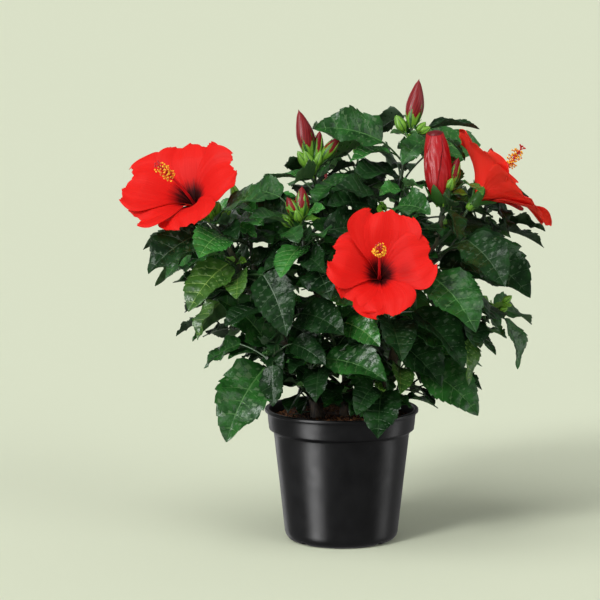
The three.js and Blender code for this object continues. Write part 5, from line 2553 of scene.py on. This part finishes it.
        cup = np.linspace(0, 0.42, 8)
        outer = rings_about(at(cup), radius_at(cup) * np.where(cup == 0, 0.5, 1), 30)
        inner = rings_about(at(cup[1:]), radius_at(cup[1:]) - 0.8, 30)[::-1]
        skin.tube(np.concatenate((outer, inner)), 0)
        for k in range(5):
            turn = TURN * k / 5 + 0.3
            hug(skin, at, lambda s: radius_at(s) + 0.3, (0.3, 1.2), turn, 0.66, 0.4, (1, 1))
        for k in range(self.bracts):
            out = off_axis(bloom.axis, TURN * k / self.bracts)
            s = np.linspace(0, 1, 7)[:, None]
            line = bloom.heart - bloom.axis * (CALYX_BACK - 1) + out * 2.2
            line = line + bloom.axis * (11 * s) + out * (3.5 * s + 4.5 * s**2)
            skin.bar(line, 0.9 * (1 - s[:, 0]) ** 0.7 + 0.15, 5, 1)


@dataclass
class Softbox:
    """A tall lamp that only gives highlights: where it stands, its size and its power."""

    name: str
    place: Row
    size: Row
    power: float
    look_at: Row = (0.0, 0.0, 0.25)

    def build(self) -> None:
        """Makes the lamp."""
        lamp = bpy.data.lights.new(self.name, "AREA")
        lamp.shape = "RECTANGLE"
        lamp.size, lamp.size_y = self.size
        lamp.energy = self.power
        holder = stand(self.name, lamp)
        holder.location = self.place
        aim(holder, Vector(self.look_at) - Vector(self.place))
        holder.visible_camera = False
        holder.visible_diffuse = False


@dataclass
class FarLight:
    """A broad light from far away: where it comes from, how wide it looks, and its strength."""

    name: str
    heading: float
    pitch: float
    width: float
    strength: float

    def build(self) -> None:
        """Makes the light."""
        sun = bpy.data.lights.new(self.name, "SUN")
        sun.energy = self.strength
        sun.angle = math.radians(self.width)
        aim(stand(self.name, sun), Vector(-direction(self.heading, self.pitch)))


@dataclass
class Studio:
    """The pale floor, the soft light and the camera at the photo's angle. Sizes in metres."""

    floor_colour: str = "#dbe1c8"
    floor_reach: float = 60.0
    camera_distance: float = 3.0
    camera_pitch: float = 8.0
    target: Row = (-0.046, 0.0, 0.267)
    lens: float = 163.59
    sky_light: float = 0.3
    lights: tuple[FarLight | Softbox, ...] = (
        FarLight("overhead", -128.0, 60.0, 50.0, 1.2),
        FarLight("key", -129.0, 31.0, 15.0, 1.62),
        FarLight("fill", -40.0, 22.0, 36.0, 0.7),
        FarLight("low", -150.0, 4.0, 24.0, 0.55),
        Softbox("softbox_left", (-1.01, -0.82, 0.05), (0.5, 1.6), 38.0, (0.0, 0.0, 0.05)),
        Softbox("softbox_right", (1.35, 0.0, 0.05), (0.4, 1.6), 6.0, (0.0, 0.0, 0.05)),
        Softbox("softbox_behind", (-0.75, 1.3, 0.05), (0.36, 1.6), 2.5, (0.0, 0.0, 0.05)),
    )

    def floor(self) -> None:
        """Makes the floor."""
        reach = self.floor_reach
        mesh = bpy.data.meshes.new("floor")
        corners = [(-reach, -reach, 0), (reach, -reach, 0), (reach, reach, 0), (-reach, reach, 0)]
        mesh.from_pydata(corners, [], [(0, 1, 2, 3)])
        mesh.materials.append(material_of(Finish("floor_paper", self.floor_colour, 0.9, shine=0.0)))
        plane = stand("floor", mesh)
        plane.visible_glossy = False

    def light(self) -> None:
        """Makes the sky's light and all lamps."""
        world = bpy.data.worlds.new("studio")
        bpy.context.scene.world = world
        world.use_nodes = True
        tree = world.node_tree
        tree.nodes.clear()
        seen = add(tree, "Background", {"Color": linear(self.floor_colour), "Strength": 1.0})
        lit = add(tree, "Background", {"Color": (1, 1, 1, 1), "Strength": self.sky_light})
        path = add(tree, "LightPath").outputs["Is Camera Ray"]
        both = add(tree, "MixShader", {0: path, 1: lit, 2: seen})
        add(tree, "OutputWorld", {"Surface": both})
        for lamp in self.lights:
            lamp.build()

    def camera(self) -> None:
        """Makes the camera."""
        lens = bpy.data.cameras.new("camera")
        lens.lens, lens.sensor_width = self.lens, 36.0
        lens.clip_start, lens.clip_end = 0.05, 200.0
        pitch = math.radians(self.camera_pitch)
        back = Vector((0.0, -math.cos(pitch), math.sin(pitch)))
        holder = stand("camera", lens)
        holder.location = Vector(self.target) + back * self.camera_distance
        aim(holder, -back)
        bpy.context.scene.camera = holder

    def build(self) -> None:
        """Makes the whole studio and sets plain colour handling."""
        self.floor()
        self.light()
        self.camera()
        bpy.context.scene.view_settings.view_transform = "Standard"


def main() -> None:
    """Builds the shrub around the frame, then the studio."""
    logging.basicConfig(level=logging.INFO, format="%(message)s")
    growth = Growth()
    count = sum(len(s.leaves) for sprays in growth.masses.values() for s in sprays)
    first = sum(len(sprays[0].leaves) for sprays in growth.masses.values())
    log.info("leaves: %d, of which %d as in the solids", count, first)
    Pot().build()
    Compost().build()
    Wood(growth).build()
    Blades(growth).build()
    Buds(growth).build()
    Blossom(growth).build()
    Studio().build()


if __name__ == "__main__":
    main()
